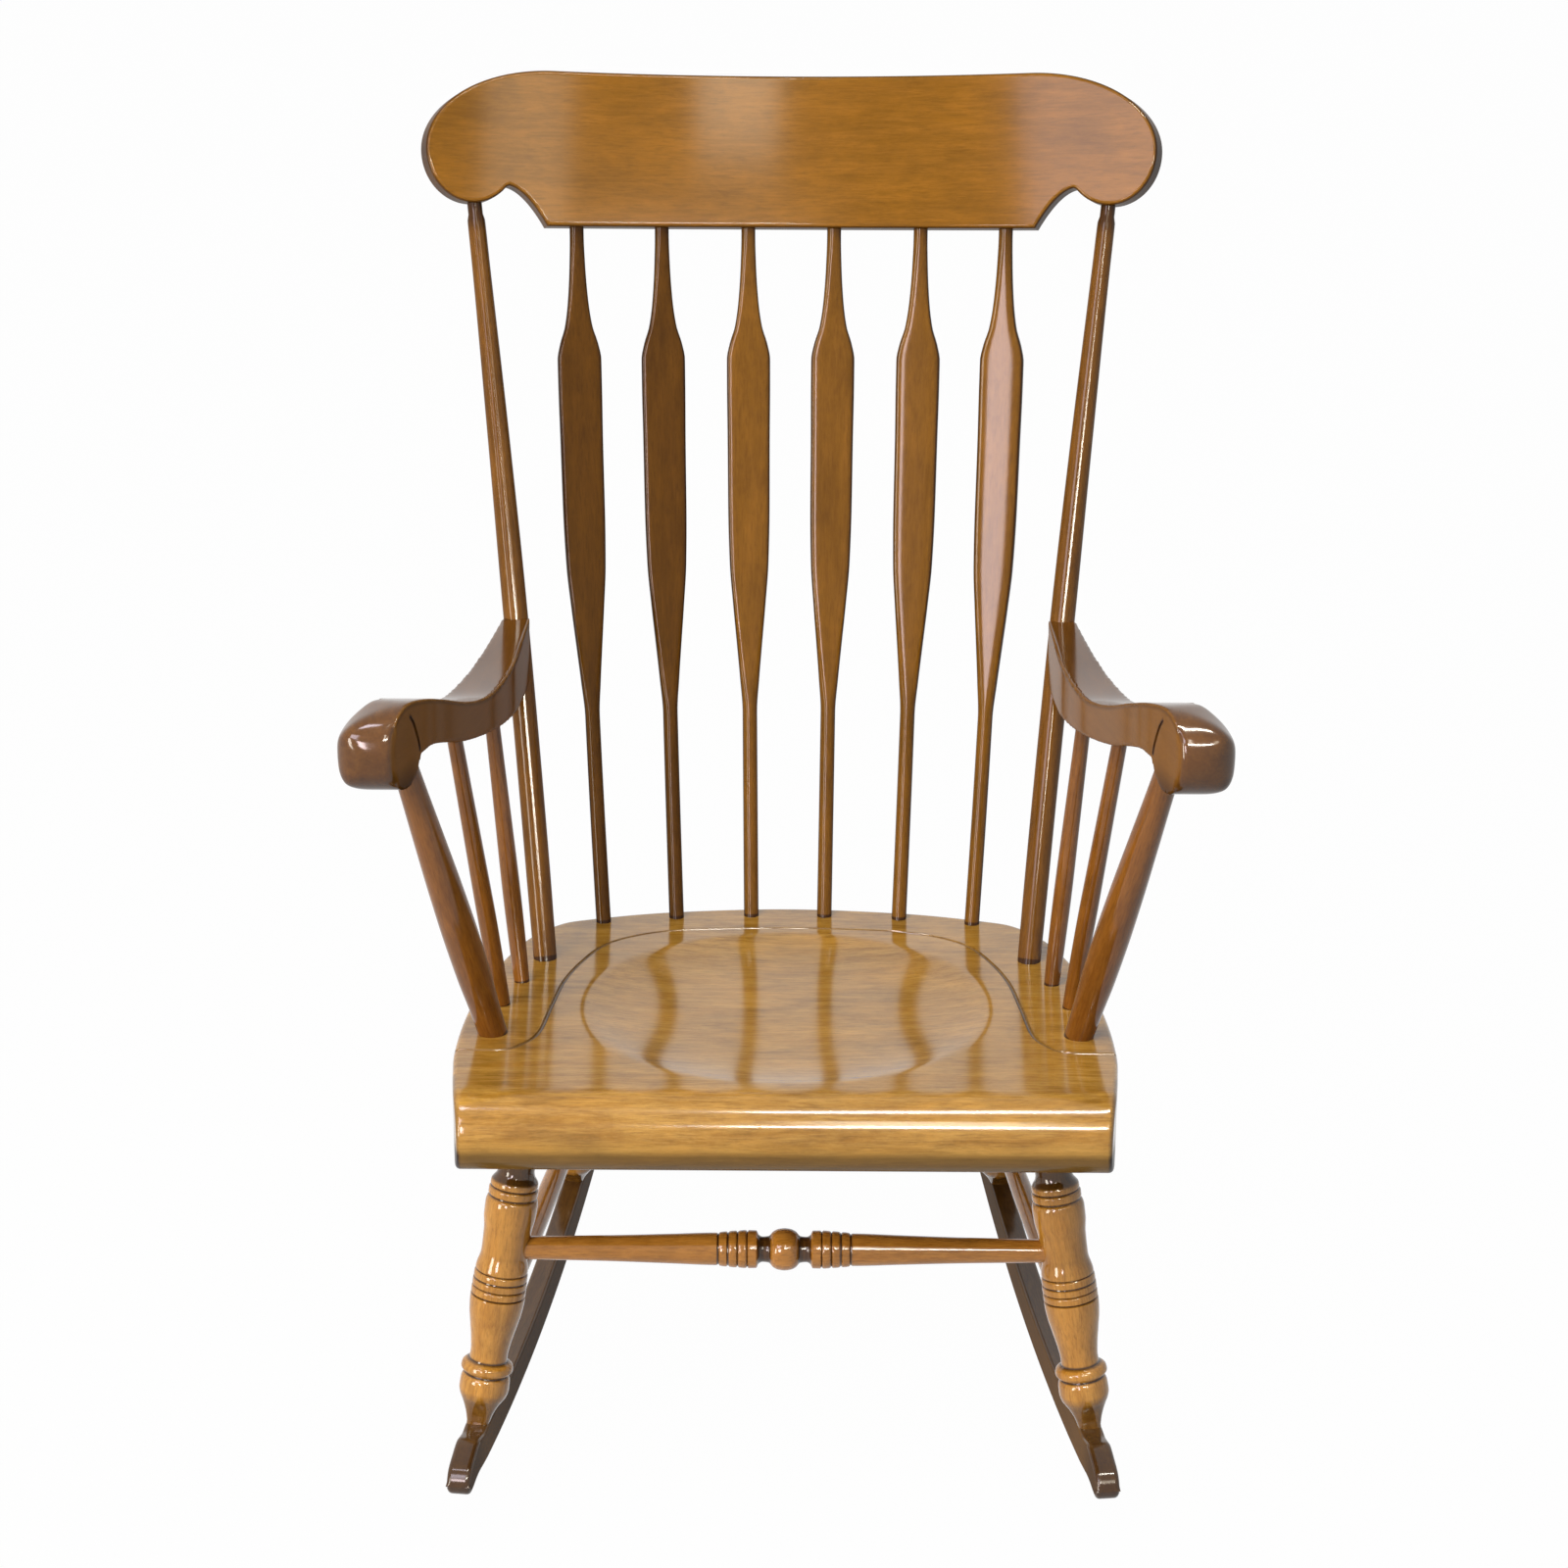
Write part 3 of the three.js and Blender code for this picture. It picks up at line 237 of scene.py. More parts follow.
# Each wood finish: its slot, its pale, body and deep colours, its gloss, its polish's roughness, its figure
FINISHES = {
    "lacquered_birch_seat": ("seat_wood", "E2B45C", "AE7C2A", "5E3C06", 1.0, 0.13),
    "lacquered_birch_crest_rail": ("crest_wood", "A26C22", "84560E", "5C3C06", 0.32, 0.11),
    "lacquered_birch_arrow_spindles": ("spindle_wood", "906020", "7A500E", "543404", 0.36, 0.12),
    "dark_lacquered_birch_arrow_spindles": ("spindle_wood", "704814", "5A3806", "3E2404", 0.25, 0.12),
    "lacquered_birch_posts": ("turned_wood", "926024", "6E4610", "4A2C06", 0.4),
    "lacquered_birch_arm_spindles": ("turned_wood", "A06A2A", "804E16", "4E2C08", 0.85),
    "dark_lacquered_birch_arms": ("arm_wood", "9C6C2C", "5E380E", "422608", 0.9, 0.12, 0.4),
    # The legs and stretchers are given a brighter birch than the posts, partly as painted light, since the
    # seat shades them from the lamp overhead.
    "lacquered_birch_turned_legs": ("leg_wood", "E2AC52", "BE8430", "70460E", 1.0),
    "lacquered_birch_stretchers": ("stretcher_wood", "D89A44", "B87A2A", "6A420C", 1.0),
    "dark_lacquered_birch_rockers": ("rocker_wood", "785626", "5C3E1C", "3C2812", 0.8, 0.14),
}
MATERIALS = {name: lacquered_birch(name, *look[1:]) for name, look in FINISHES.items()}
SCREW_STEEL = zinc_plated_steel()


# Pieces

# In metres: points nearer than the first are one, and edges shorter than the second go.
PIECE_CLOSENESS, BLOCK_CLOSENESS = (0.00002, 0.000005), (0.00001, 0.000002)


def placed(name, data):
    """A new object in the scene."""
    thing = bpy.data.objects.new(name, data)
    bpy.context.scene.collection.objects.link(thing)
    return thing


def cleaned(mesh, near, sliver):
    """The mesh with doubled points merged, slivers dissolved and faces turned outwards."""
    shell = bmesh.new()
    shell.from_mesh(mesh)
    bmesh.ops.remove_doubles(shell, verts=shell.verts, dist=near)
    bmesh.ops.dissolve_degenerate(shell, edges=shell.edges, dist=sliver)
    bmesh.ops.recalc_face_normals(shell, faces=shell.faces)
    # Faces that all point the same way but inwards give the piece a volume below zero.
    if shell.calc_volume(signed=True) < 0:
        bmesh.ops.reverse_faces(shell, faces=shell.faces)
    shell.to_mesh(mesh)
    shell.free()
    return mesh


def baked(body):
    """What a body's modifiers make of it, as a plain mesh. The body itself goes."""
    graph = bpy.context.evaluated_depsgraph_get()
    held = body.evaluated_get(graph)
    mesh = bpy.data.meshes.new_from_object(held, preserve_all_data_layers=True, depsgraph=graph)
    body.modifiers.clear()
    bpy.data.objects.remove(body)
    return mesh


def finish_piece(name, mesh, node, finish, sharp=38):
    """A piece in place: closed, facing out, smooth but for its sharp edges, and standing for its CAD node."""
    cleaned(mesh, *PIECE_CLOSENESS)
    for label in ("wide", "deep", "corner"):
        if label in mesh.attributes:
            mesh.attributes.remove(mesh.attributes[label])
    mesh.shade_smooth()
    mesh.set_sharp_from_angle(angle=math.radians(sharp))
    mesh.materials.clear()
    mesh.materials.append(MATERIALS[finish])
    piece = placed(name, mesh)
    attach(piece, "root")
    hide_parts(node)


def mark(mesh, grain, stain, rubbed_and_lit=None):
    """Each point's place along and across the grain in metres, how far it is darkened by staining and by
    painted shade, and how worn it is, which dulls the lacquer and paints it paler as painted light.
    """
    for label in ("grain", "stain", "rubbed_and_lit"):
        if label in mesh.attributes:
            mesh.attributes.remove(mesh.attributes[label])
    stain = np.asarray(stain, np.float32).ravel()
    rubbed_and_lit = np.zeros_like(stain) if rubbed_and_lit is None else np.asarray(rubbed_and_lit, np.float32).ravel()
    mesh.attributes.new("grain", "FLOAT_VECTOR", "POINT")
    mesh.attributes["grain"].data.foreach_set("vector", np.asarray(grain, np.float32).ravel())
    for label, values in (("stain", stain), ("rubbed_and_lit", rubbed_and_lit)):
        mesh.attributes.new(label, "FLOAT", "POINT").data.foreach_set("value", values)


def in_place(points):
    """Millimetres in the upright frame to metres in the CAD's frame."""
    turn = np.array(REST.to_3x3())
    return (np.asarray(points) @ turn.T + np.array(REST_SHIFT)) * MM


def lofted(name, rings, grain=None, stain=None, rubbed_and_lit=None, capped=True):
    """Mesh through closed rings of points. A tool, or a piece that is marked later, is given no grain."""
    rings = np.asarray(rings, float)
    count, around = rings.shape[:2]
    faces = []
    for i in range(count - 1):
        for j in range(around):
            a, b = i * around + j, i * around + (j + 1) % around
            faces.append((a, b, b + around, a + around))
    if capped:
        faces.append(tuple(reversed(range(around))))
        faces.append(tuple(range((count - 1) * around, count * around)))
    mesh = bpy.data.meshes.new(name)
    mesh.from_pydata(in_place(rings.reshape(-1, 3)).tolist(), [], faces)
    if grain is not None:
        mark(mesh, grain, stain, rubbed_and_lit)
    return mesh


def coordinates(mesh):
    """A mesh's points in metres."""
    points = np.empty(len(mesh.vertices) * 3, np.float32)
    mesh.vertices.foreach_get("co", points)
    return points.reshape(-1, 3)


def points_of(mesh):
    """A mesh's points in millimetres, back in the upright frame."""
    return (coordinates(mesh) / MM - np.array(REST_SHIFT)) @ np.array(REST.to_3x3())


# Sticks: every turned, bowed or bladed piece is one line of stations given its round by a node tree.


def stick_tree():
    """Geometry nodes: a line of stations, swept round, with each station's width, depth and corner."""
    tree = bpy.data.node_groups.new("turned_stick", "GeometryNodeTree")
    kinds = {"Stations": "Geometry", "Sides": "Int", "Length": "Float", "Bow": "Float", "Finish": "Material"}
    for name, kind in kinds.items():
        tree.interface.new_socket(name, in_out="INPUT", socket_type="NodeSocket" + kind)
    tree.interface.new_socket("Stick", in_out="OUTPUT", socket_type="NodeSocketGeometry")
    given = add(tree, "NodeGroupInput").outputs
    line = add(tree, "GeometryNodeMeshToCurve", {"Mesh": given["Stations"]})
    circle = add(tree, "GeometryNodeCurvePrimitiveCircle", {"Resolution": given["Sides"], "Radius": 1.0})
    swept = {"Curve": line.outputs[0], "Profile Curve": circle.outputs[0], "Fill Caps": True}
    tube = add(tree, "GeometryNodeCurveToMesh", swept)
    place = add(tree, "GeometryNodeInputPosition").outputs[0]
    part = add(tree, "ShaderNodeSeparateXYZ", {"Vector": place}).outputs
    flat = add(tree, "ShaderNodeCombineXYZ", {"X": part["X"], "Y": part["Y"]})
    unit = add(tree, "ShaderNodeVectorMath", {0: flat.outputs[0]}, operation="NORMALIZE")
    around = add(tree, "ShaderNodeSeparateXYZ", {"Vector": unit.outputs[0]}).outputs

    def value(name):
        return add(tree, "GeometryNodeInputNamedAttribute", {"Name": name}, data_type="FLOAT").outputs[0]

    def math_node(operation, *inputs):
        return add(tree, "ShaderNodeMath", dict(enumerate(inputs)), operation=operation).outputs[0]

    corner = value("corner")
    # A power of 2 leaves the section round, and a higher one squares it.
    reach_x = math_node("POWER", math_node("ABSOLUTE", around["X"]), corner)
    reach_y = math_node("POWER", math_node("ABSOLUTE", around["Y"]), corner)
    swell = math_node("POWER", math_node("ADD", reach_x, reach_y), math_node("DIVIDE", -1.0, corner))
    x = math_node("MULTIPLY", math_node("MULTIPLY", around["X"], swell), value("wide"))
    y = math_node("MULTIPLY", math_node("MULTIPLY", around["Y"], swell), value("deep"))
    share = math_node("DIVIDE", part["Z"], given["Length"])
    arch = math_node("MULTIPLY", math_node("MULTIPLY", share, math_node("SUBTRACT", 1.0, share)), 4.0)
    bowed = math_node("ADD", y, math_node("MULTIPLY", arch, given["Bow"]))
    moved = add(tree, "ShaderNodeCombineXYZ", {"X": x, "Y": bowed, "Z": part["Z"]})
    shaped = add(tree, "GeometryNodeSetPosition", {"Geometry": tube.outputs[0], "Position": moved.outputs[0]})
    real = add(tree, "GeometryNodeRealizeInstances", {"Geometry": shaped.outputs[0]})
    dressed = add(tree, "GeometryNodeSetMaterial", {"Geometry": real.outputs[0], "Material": given["Finish"]})
    add(tree, "NodeGroupOutput", {"Stick": dressed.outputs[0]})
    return tree


STICK = stick_tree()
STICK_INPUT = {item.name: item.identifier for item in STICK.interface.items_tree if item.in_out == "INPUT"}
# Places in mm past a stick's start between which the stain round its foot ends, and that stain
FOOT_RING, FOOT_STAIN = (1.6, 2.6, 3.4), 0.8
# The share of a blade's half width where the painted shade along its sides starts, and the share over which
# it grows
RIM_SHARES = (0.86, 0.1)
# How far each way a turning's mean is taken, how deep below it the darkening stands full, and that darkening,
# which is stain and painted shade
COVE_REACH, COVE_DEPTH, COVE_STAIN_AND_SHADE = 2.6, 0.55, 0.9
# The corner power of a round section
ROUND = 2.0
# How far a stick's figure is moved along each of its axes for one step of its seed, in metres
SEED_STEP = np.array((0.37, 0.11, 0.53))


def stick(name, node, start, end, rows, finish, backward=BACK, bow=0.0, sides=48, rim=0.0, foot=0.0):
    """A stick between two points. Rows are its stations: place, half width, half depth, corner and darkening,
    from staining and painted shade.

    rim is how much painted shade stands along its two sides, and foot how much staining has gathered where it
    leaves the seat.
    """
    length = (end - start).length
    z = (end - start).normalized()
    y = (backward - z * backward.dot(z)).normalized()
    own = Matrix((y.cross(z), y, z)).transposed().to_4x4()
    own.translation = start
    if foot:
        places = np.union1d(rows[:, 0], FOOT_RING)
        rows = np.stack([places, *(np.interp(places, rows[:, 0], column) for column in rows[:, 1:].T)], 1)
        rows[:, 4] = np.maximum(rows[:, 4], foot * (places < FOOT_RING[1]))
    line = bpy.data.meshes.new(name + "_line")
    links = [(i, i + 1) for i in range(len(rows) - 1)]
    line.from_pydata([(0, 0, place * MM) for place in rows[:, 0]], links, [])
    columns = {"wide": rows[:, 1] * MM, "deep": rows[:, 2] * MM, "corner": rows[:, 3], "stain": rows[:, 4]}
    for label, column in columns.items():
        line.attributes.new(label, "FLOAT", "POINT").data.foreach_set("value", column.astype(np.float32))
    blank = placed(name + "_line", line)
    shaping = blank.modifiers.new("shape", "NODES")
    shaping.node_group = STICK
    inputs = {"Sides": sides, "Length": length * MM, "Bow": bow * MM, "Finish": MATERIALS[finish]}
    for label, value in inputs.items():
        shaping[STICK_INPUT[label]] = value
    mesh = baked(blank)
    mesh.name = name
    points = coordinates(mesh)
    darkness = np.empty(len(mesh.vertices), np.float32)
    mesh.attributes["stain"].data.foreach_get("value", darkness)
    half = np.interp(points[:, 2] / MM, rows[:, 0], rows[:, 1]) * MM
    darkness = np.clip(darkness + rising(np.abs(points[:, 0]) / half, *RIM_SHARES, rim), 0, 1)
    # Each stick is cut from another part of the board, so its figure starts elsewhere.
    seed = sum(ord(letter) * (i + 3) for i, letter in enumerate(name)) % 97
    mark(mesh, points + seed * SEED_STEP, darkness)
    mesh.transform(Matrix.Scale(MM, 4) @ REST @ own @ Matrix.Scale(1 / MM, 4))
    finish_piece(name, mesh, node, finish)


def turning(table, length, radius, count):
    """Stations of a turned profile, closely spaced, darkened in its grooves and coves by staining and painted
    shade.
    """
    places = np.linspace(table[0][0], table[-1][0], count)
    shares = soft_curve(table, places)
    corner = soft_curve([(row[0], row[2] if len(row) > 2 else ROUND) for row in table], places)
    spread = max(int(count * COVE_REACH / length), 1)
    padded = np.pad(shares, spread, mode="edge")
    around = np.array([padded[i : i + 2 * spread + 1].mean() for i in range(count)])
    stain = np.clip((around - shares) * radius / COVE_DEPTH, 0, 1) * COVE_STAIN_AND_SHADE
    return np.stack([places * length, shares * radius, shares * radius, corner, stain], 1)


def lengthened(rows, before, after):
    """Stations with a tenon added at each end."""
    first, last = rows[0].copy(), rows[-1].copy()
    first[0] -= before
    last[0] += after
    return np.vstack([first, rows, last])


# Seat frame and the points that the rest stands on

SLOPE = math.atan(SEAT_FALL / SEAT_DEPTH)
SEAT_FRAME = Matrix.Translation((0, 0, SEAT_HEIGHT)) @ Matrix.Rotation(-SLOPE, 4, "X")
SEAT_TURN = np.array(SEAT_FRAME.to_3x3())


def on_seat(side, shares, under=0.0):
    """A point on the seat or under it, from its shares of half the seat's width and of its depth."""
    y = shares[1] * SEAT_DEPTH
    z = SEAT_HEIGHT - y * math.tan(SLOPE) - under / math.cos(SLOPE)
    return Vector((side * shares[0] * SEAT_WIDTH / 2, y, z))


# Saddled seat

SEAT_SIDE = [
    (0.935, -0.14), (0.947, -0.09), (0.965, -0.02), (0.984, 0.075), (0.998, 0.17), (1, 0.32), (0.985, 0.48),
    (0.945, 0.64), (0.88, 0.79), (0.79, 0.885), (0.68, 0.925), (0.4, 0.975), (0, 1),
]
GROOVE = [
    (1.04, 0.168), (0.86, 0.168), (0.795, 0.2), (0.755, 0.262), (0.737, 0.4), (0.716, 0.54),
    (0.673, 0.655), (0.61, 0.755), (0.51, 0.815), (0.367, 0.851), (0.115, 0.867), (0, 0.868),
]
ROLL_START = ROLL_RADIUS - ROLL_REACH
BLOCK_BACK = ROLL_BLOCK - ROLL_REACH
# Where the sections stand close at the roll's start and at its block's step
STEP_MARGIN, STEP_GAP = 4, 0.15
# How far behind the seat's front the ends are eased square to the roll
SQUARE_RUN = 60
# The powers that give the dish its steep wall and its soft rim
DISH_WALL, DISH_RIM = 5, 1.2
# How much deeper than wide the incised line's cutter is
GROOVE_SHARE = 1.25
# Painted shade, stain and wear: where each starts, over how much it grows and how strong it is
# The groove takes stain and painted shade, the sides, underside, roll's lower half and block take painted
# shade, and the roll's ends are darker.
GROOVE_DARK, GROOVE_DEPTH = (GROOVE_RADIUS * 1.26, GROOVE_RADIUS * 1.05, 0.95), 6
RIM_DARK, UNDER_DARK, BLOCK_DARK = (8, 24, 0.4), (38, 6, 0.6), (50, 16, 0.2)
TIP_DARK_SHARES, TIP_REACH = (0.985, 0.01, 0.5), 20
ROLL_DULL_AND_LIGHT = (30, 14, 0.7)


def mirrored(shares):
    """A half outline given in shares, in millimetres and joined to its own mirror image."""
    half = np.array(shares) * (SEAT_WIDTH / 2, SEAT_DEPTH)
    return np.vstack([half, (half[:-1] * (-1, 1))[::-1]])


def seat_side():
    """Right edge of the seat in plan, from its front to the middle of its back, crowded at the roll."""
    curve = spline(mirrored(SEAT_SIDE), 4001)[:2001]
    front_y = ROLL_START - ROLL_RADIUS * np.sin(np.linspace(math.pi / 2, 0, 18))
    step_y = [ROLL_START + STEP_MARGIN]
    step_y += [BLOCK_BACK + behind for behind in (-STEP_MARGIN, -STEP_GAP, STEP_GAP, ROLL_RAMP)]
    near_y = np.concatenate([front_y, step_y])
    near = np.stack([np.interp(near_y, curve[:800, 1], curve[:800, 0]), near_y], 1)
    rest = curve[curve[:, 1] > step_y[-1] + 1]
    run = np.concatenate([[0], np.cumsum(np.linalg.norm(np.diff(rest, axis=0), axis=1))])
    places = np.linspace(0, run[-1], 165)
    rest = np.stack([np.interp(places, run, column) for column in rest.T], 1)
    rest[-1] = (0, SEAT_DEPTH)
    return np.vstack([near, rest])


def roll_turn(y):
    """Angle round the roll at a place on its upper or lower half."""
    return np.arcsin(np.clip((ROLL_START - y) / ROLL_RADIUS, 0, 1))


def seat_top(x, y):
    """Height of the seat's upper face in its own frame: flat, with a shallow dish and a rolled front."""
    out = np.clip(np.hypot(x / (DISH_WIDTH / 2), (y - DISH_CENTRE) / (DISH_LENGTH / 2)), 0, 1)
    return -DISH_DEPTH * (1 - out**DISH_WALL) ** DISH_RIM - ROLL_RADIUS * (1 - np.cos(roll_turn(y)))


def seat_under(y):
    """Height of the seat's lower face: the roll's lower half, its block, a ramp and the plank."""
    plank = -SEAT_THICKNESS - falling(y, BLOCK_BACK + ROLL_RAMP, ROLL_RAMP, ROLL_RAMP)
    return np.where(y < BLOCK_BACK, -ROLL_RADIUS * (1 + np.cos(roll_turn(y))), plank)


def seat_mesh():
    """Seat as cross sections from front to back, each a closed ring over the top and back under."""
    edge = seat_side()
    inward = square_to(edge)
    inward[-1] = (0, -1)
    # Across the roll the ends are eased square to its axis.
    square = rising(edge[:, 1], -ROLL_REACH, SQUARE_RUN)[:, None]
    inward = inward * square + (1 - square) * (-1, 0)
    turn = roll_turn(edge[:, 1])
    under_ease = SEAT_EDGE_EASE + (SEAT_UNDER_EASE - SEAT_EDGE_EASE) * square[:, 0]
    across = np.linspace(-1, 1, 105)[1:-1]
    around = np.linspace(0, math.pi / 2, 6)

    def eased(ease, angle, upper):
        inset, depth = ease * (1 - math.sin(angle)), ease * (1 - math.cos(angle))
        plan = edge + inward * np.reshape(inset, (-1, 1))
        face = seat_top(plan[:, 0], edge[:, 1]) if upper else seat_under(edge[:, 1])
        fall = depth * np.cos(turn) * (1 if upper else -1)
        return np.column_stack([plan[:, 0], plan[:, 1] + depth * np.sin(turn), face - fall])

    upper_side = [eased(np.full(len(edge), SEAT_EDGE_EASE), angle, True) for angle in around]
    lower_side = [eased(under_ease, angle, False) for angle in around[::-1]]
    wall = [upper_side[-1] + (lower_side[0] - upper_side[-1]) * share for share in (0.25, 0.5, 0.75)]
    right = upper_side + wall + lower_side
    left = [ring * (-1, 1, 1) for ring in right[::-1]]
    x, y = upper_side[0][:, 0], upper_side[0][:, 1]
    upper = [np.column_stack([x * share, y, seat_top(x * share, y)]) for share in across]
    lower = [lower_side[-1] * (-share, 1, 1) for share in across]
    sections = np.array(upper + right + lower + left).transpose(1, 0, 2)
    return lofted("saddled_seat", sections @ SEAT_TURN.T + (0, 0, SEAT_HEIGHT), capped=False)


def groove_mesh(path):
    """The cutter for the incised line round the seat."""
    rings = []
    for place, side in zip(path, square_to(path)):
        ring = []
        for angle in np.linspace(0, 2 * math.pi, 12, endpoint=False):
            out = side * math.cos(angle) * GROOVE_RADIUS
            ring.append((*(place + out), math.sin(angle) * GROOVE_RADIUS * GROOVE_SHARE))
        rings.append(np.array(ring) @ SEAT_TURN.T + (0, 0, SEAT_HEIGHT))
    return lofted("groove_cutter", rings)


def joined(name, meshes, operation):
    """The first mesh with the others cut out of it, or the part that all of them share."""
    bodies = [placed(f"{name}_{i}", cleaned(mesh, *BLOCK_CLOSENESS)) for i, mesh in enumerate(meshes)]
    for tool in bodies[1:]:
        carve = bodies[0].modifiers.new("carve", "BOOLEAN")
        carve.operation, carve.solver, carve.object = operation, "EXACT", tool
    carved = baked(bodies[0])
    for tool in bodies[1:]:
        bpy.data.objects.remove(tool)
    return carved


def make_seat():
    path = spline(mirrored(GROOVE), 330)
    mesh = joined("saddled_seat", [seat_mesh(), groove_mesh(path)], "DIFFERENCE")
    own = (points_of(mesh) - (0, 0, SEAT_HEIGHT)) @ SEAT_TURN
    x, y, depth = np.abs(own[:, 0]), own[:, 1], -own[:, 2]
    gap = np.full(len(own), np.inf)
    for a, b in zip(path[:-1], path[1:]):
        step = b - a
        t = np.clip(((own[:, :2] - a) @ step) / (step @ step), 0, 1)
        gap = np.minimum(gap, np.linalg.norm(own[:, :2] - a - t[:, None] * step, axis=1))
    side = seat_side()[:100]
    # Darkening: stain and painted shade in the groove, painted shade down the sides, under the roll and under
    # its block, and darker ends to the roll.
    stain = (
        np.where(depth < GROOVE_DEPTH, falling(gap, *GROOVE_DARK), 0)
        + rising(depth, *RIM_DARK) * (y > ROLL_START)
        + rising(depth, *UNDER_DARK)
        + rising(depth, *BLOCK_DARK)
        + rising(x / np.interp(y, side[:, 1], side[:, 0]), *TIP_DARK_SHARES) * (y < TIP_REACH)
    )
    # The seat's boards run from side to side.
    grain = np.stack([y, own[:, 2], own[:, 0]], 1) * MM
    # The roll's lower half is worn dull behind the sitter's legs, and also painted a little paler, as painted
    # light.
    mark(mesh, grain, np.clip(stain, 0, 1), rising(depth, *ROLL_DULL_AND_LIGHT))
    finish_piece("saddled_seat", mesh, "seat", "lacquered_birch_seat", sharp=50)


make_seat()


# Boards: crest rail, arms and rockers are sawn outlines with eased edges.

# Rows of points over each face keep its shading apart from that of its edges.
FACE_SHARES = (0.01, 0.04, 0.12, 0.3, 0.5, 0.7, 0.88, 0.96, 0.99)
EASE_STEPS = 4
# How much a board's sawn edges are darkened, and how far inside its face a point counts as part of its edge
EDGE_DARK, EDGE_MARGIN = 0.6, 0.3
# A steep edge, whose normal rises less than the first share, has room for its whole ease. Any other takes
# at most the second share of half the board's height.
STEEP_SHARE, ROOM_SHARE = 0.35, 0.9
# How far off each kind's figure is taken, in mm, so that no two kinds look alike
CREST_FIGURE, ARM_FIGURE, ROCKER_FIGURE = 900, 300, 500


def board_rings(low, high, face, eases):
    """Sections of a board at successive stations, each a closed ring of (along, height, across).

    low and high are rows of (along, height), face is half the thickness and each ease rounds four edges.
    """
    in_low, in_high = square_to(low), -square_to(high)
    angles = np.linspace(0, math.pi / 2, EASE_STEPS + 1)
    rings = []
    for i, ease in enumerate(eases):
        half = max((high[i][1] - low[i][1]) / 2, 0)
        under, over = (low[i], in_low[i]), (high[i], in_high[i])
        corners = []
        for (edge, normal), side, order in ((under, -1, 1), (under, 1, -1), (over, 1, 1), (over, -1, -1)):
            room = 1.0 if abs(normal[1]) < STEEP_SHARE else min(1.0, ROOM_SHARE * half / ease)
            corner = []
            for angle in angles[::order]:
                inset = normal * ease * room * (1 - math.sin(angle))
                corner.append((*(edge + inset), side * (face - ease * (1 - math.cos(angle)))))
            corners.append(np.array(corner))
        ring = []
        for corner, after in zip(corners, corners[1:] + corners[:1]):
            ring.extend(corner)
            ring.extend(corner[-1] + (after[0] - corner[-1]) * share for share in FACE_SHARES)
        rings.append(ring)
    return np.array(rings)


# Crest rail

POST_BASE = (0.798, 0.673)


def post_ends(side):
    start = on_seat(side, POST_BASE)
    step = Vector((side * math.tan(POST_SPLAY), math.tan(POST_LEAN), 1))
    return start, start + step.normalized() * POST_LENGTH


POST_TOP = post_ends(1)[1]
POST_TURN = math.asin(POST_TOP.x / CREST_BEND)
CREST_HALF = POST_TURN * CREST_BEND + CREST_OVERHANG
CREST_BACK = Vector((0, math.cos(CREST_LEAN), -math.sin(CREST_LEAN)))
CREST_UP = Vector((0, math.sin(CREST_LEAN), math.cos(CREST_LEAN)))
CREST_FRAME = Matrix((RIGHT, CREST_BACK, CREST_UP)).transposed().to_4x4()
CREST_FRAME.translation = (0, POST_TOP.y, POST_TOP.z)
# Where the shoulder, the cove's corner and the cusp are along the rail, and how the lobe is rounded below
CREST_SHOULDER, CREST_CORNER, CREST_CUSP = 0.65 * CREST_HALF, 0.669 * CREST_HALF, 0.78 * CREST_HALF
LOBE_MIDDLE, CUSP_HEIGHT, COVE_POWER = 0.475 * CREST_HEIGHT, 0.255 * CREST_HEIGHT, 1.8
LOBE_REACH, LOBE_DROP = 42, 46
CREST_END, CREST_END_DARK = 6, 0.2


def on_crest(along, height, behind):
    """A point on the rail's bent face or behind it."""
    turn = along / CREST_BEND
    radius, chord = CREST_BEND + behind, CREST_BEND * math.cos(POST_TURN)
    return CREST_FRAME @ Vector((radius * math.sin(turn), radius * math.cos(turn) - chord, height))


def crest_top(along):
    t = min(max((along - CREST_SHOULDER) / (CREST_HALF - CREST_SHOULDER), 0), 1)
    return LOBE_MIDDLE + (CREST_HEIGHT - LOBE_MIDDLE) * math.sqrt(1 - t * t)


def crest_under(along):
    if along <= CREST_CORNER:
        return CREST_ARCH * (1 - (along / CREST_CORNER) ** 2)
    if along < CREST_CUSP:
        t = (CREST_CUSP - along) / (CREST_CUSP - CREST_CORNER)
        return CUSP_HEIGHT * (1 - t**COVE_POWER)
    reach = min(abs(along - CREST_HALF + LOBE_REACH) / LOBE_REACH, 1)
    return LOBE_MIDDLE - LOBE_DROP * math.sqrt(1 - reach * reach)


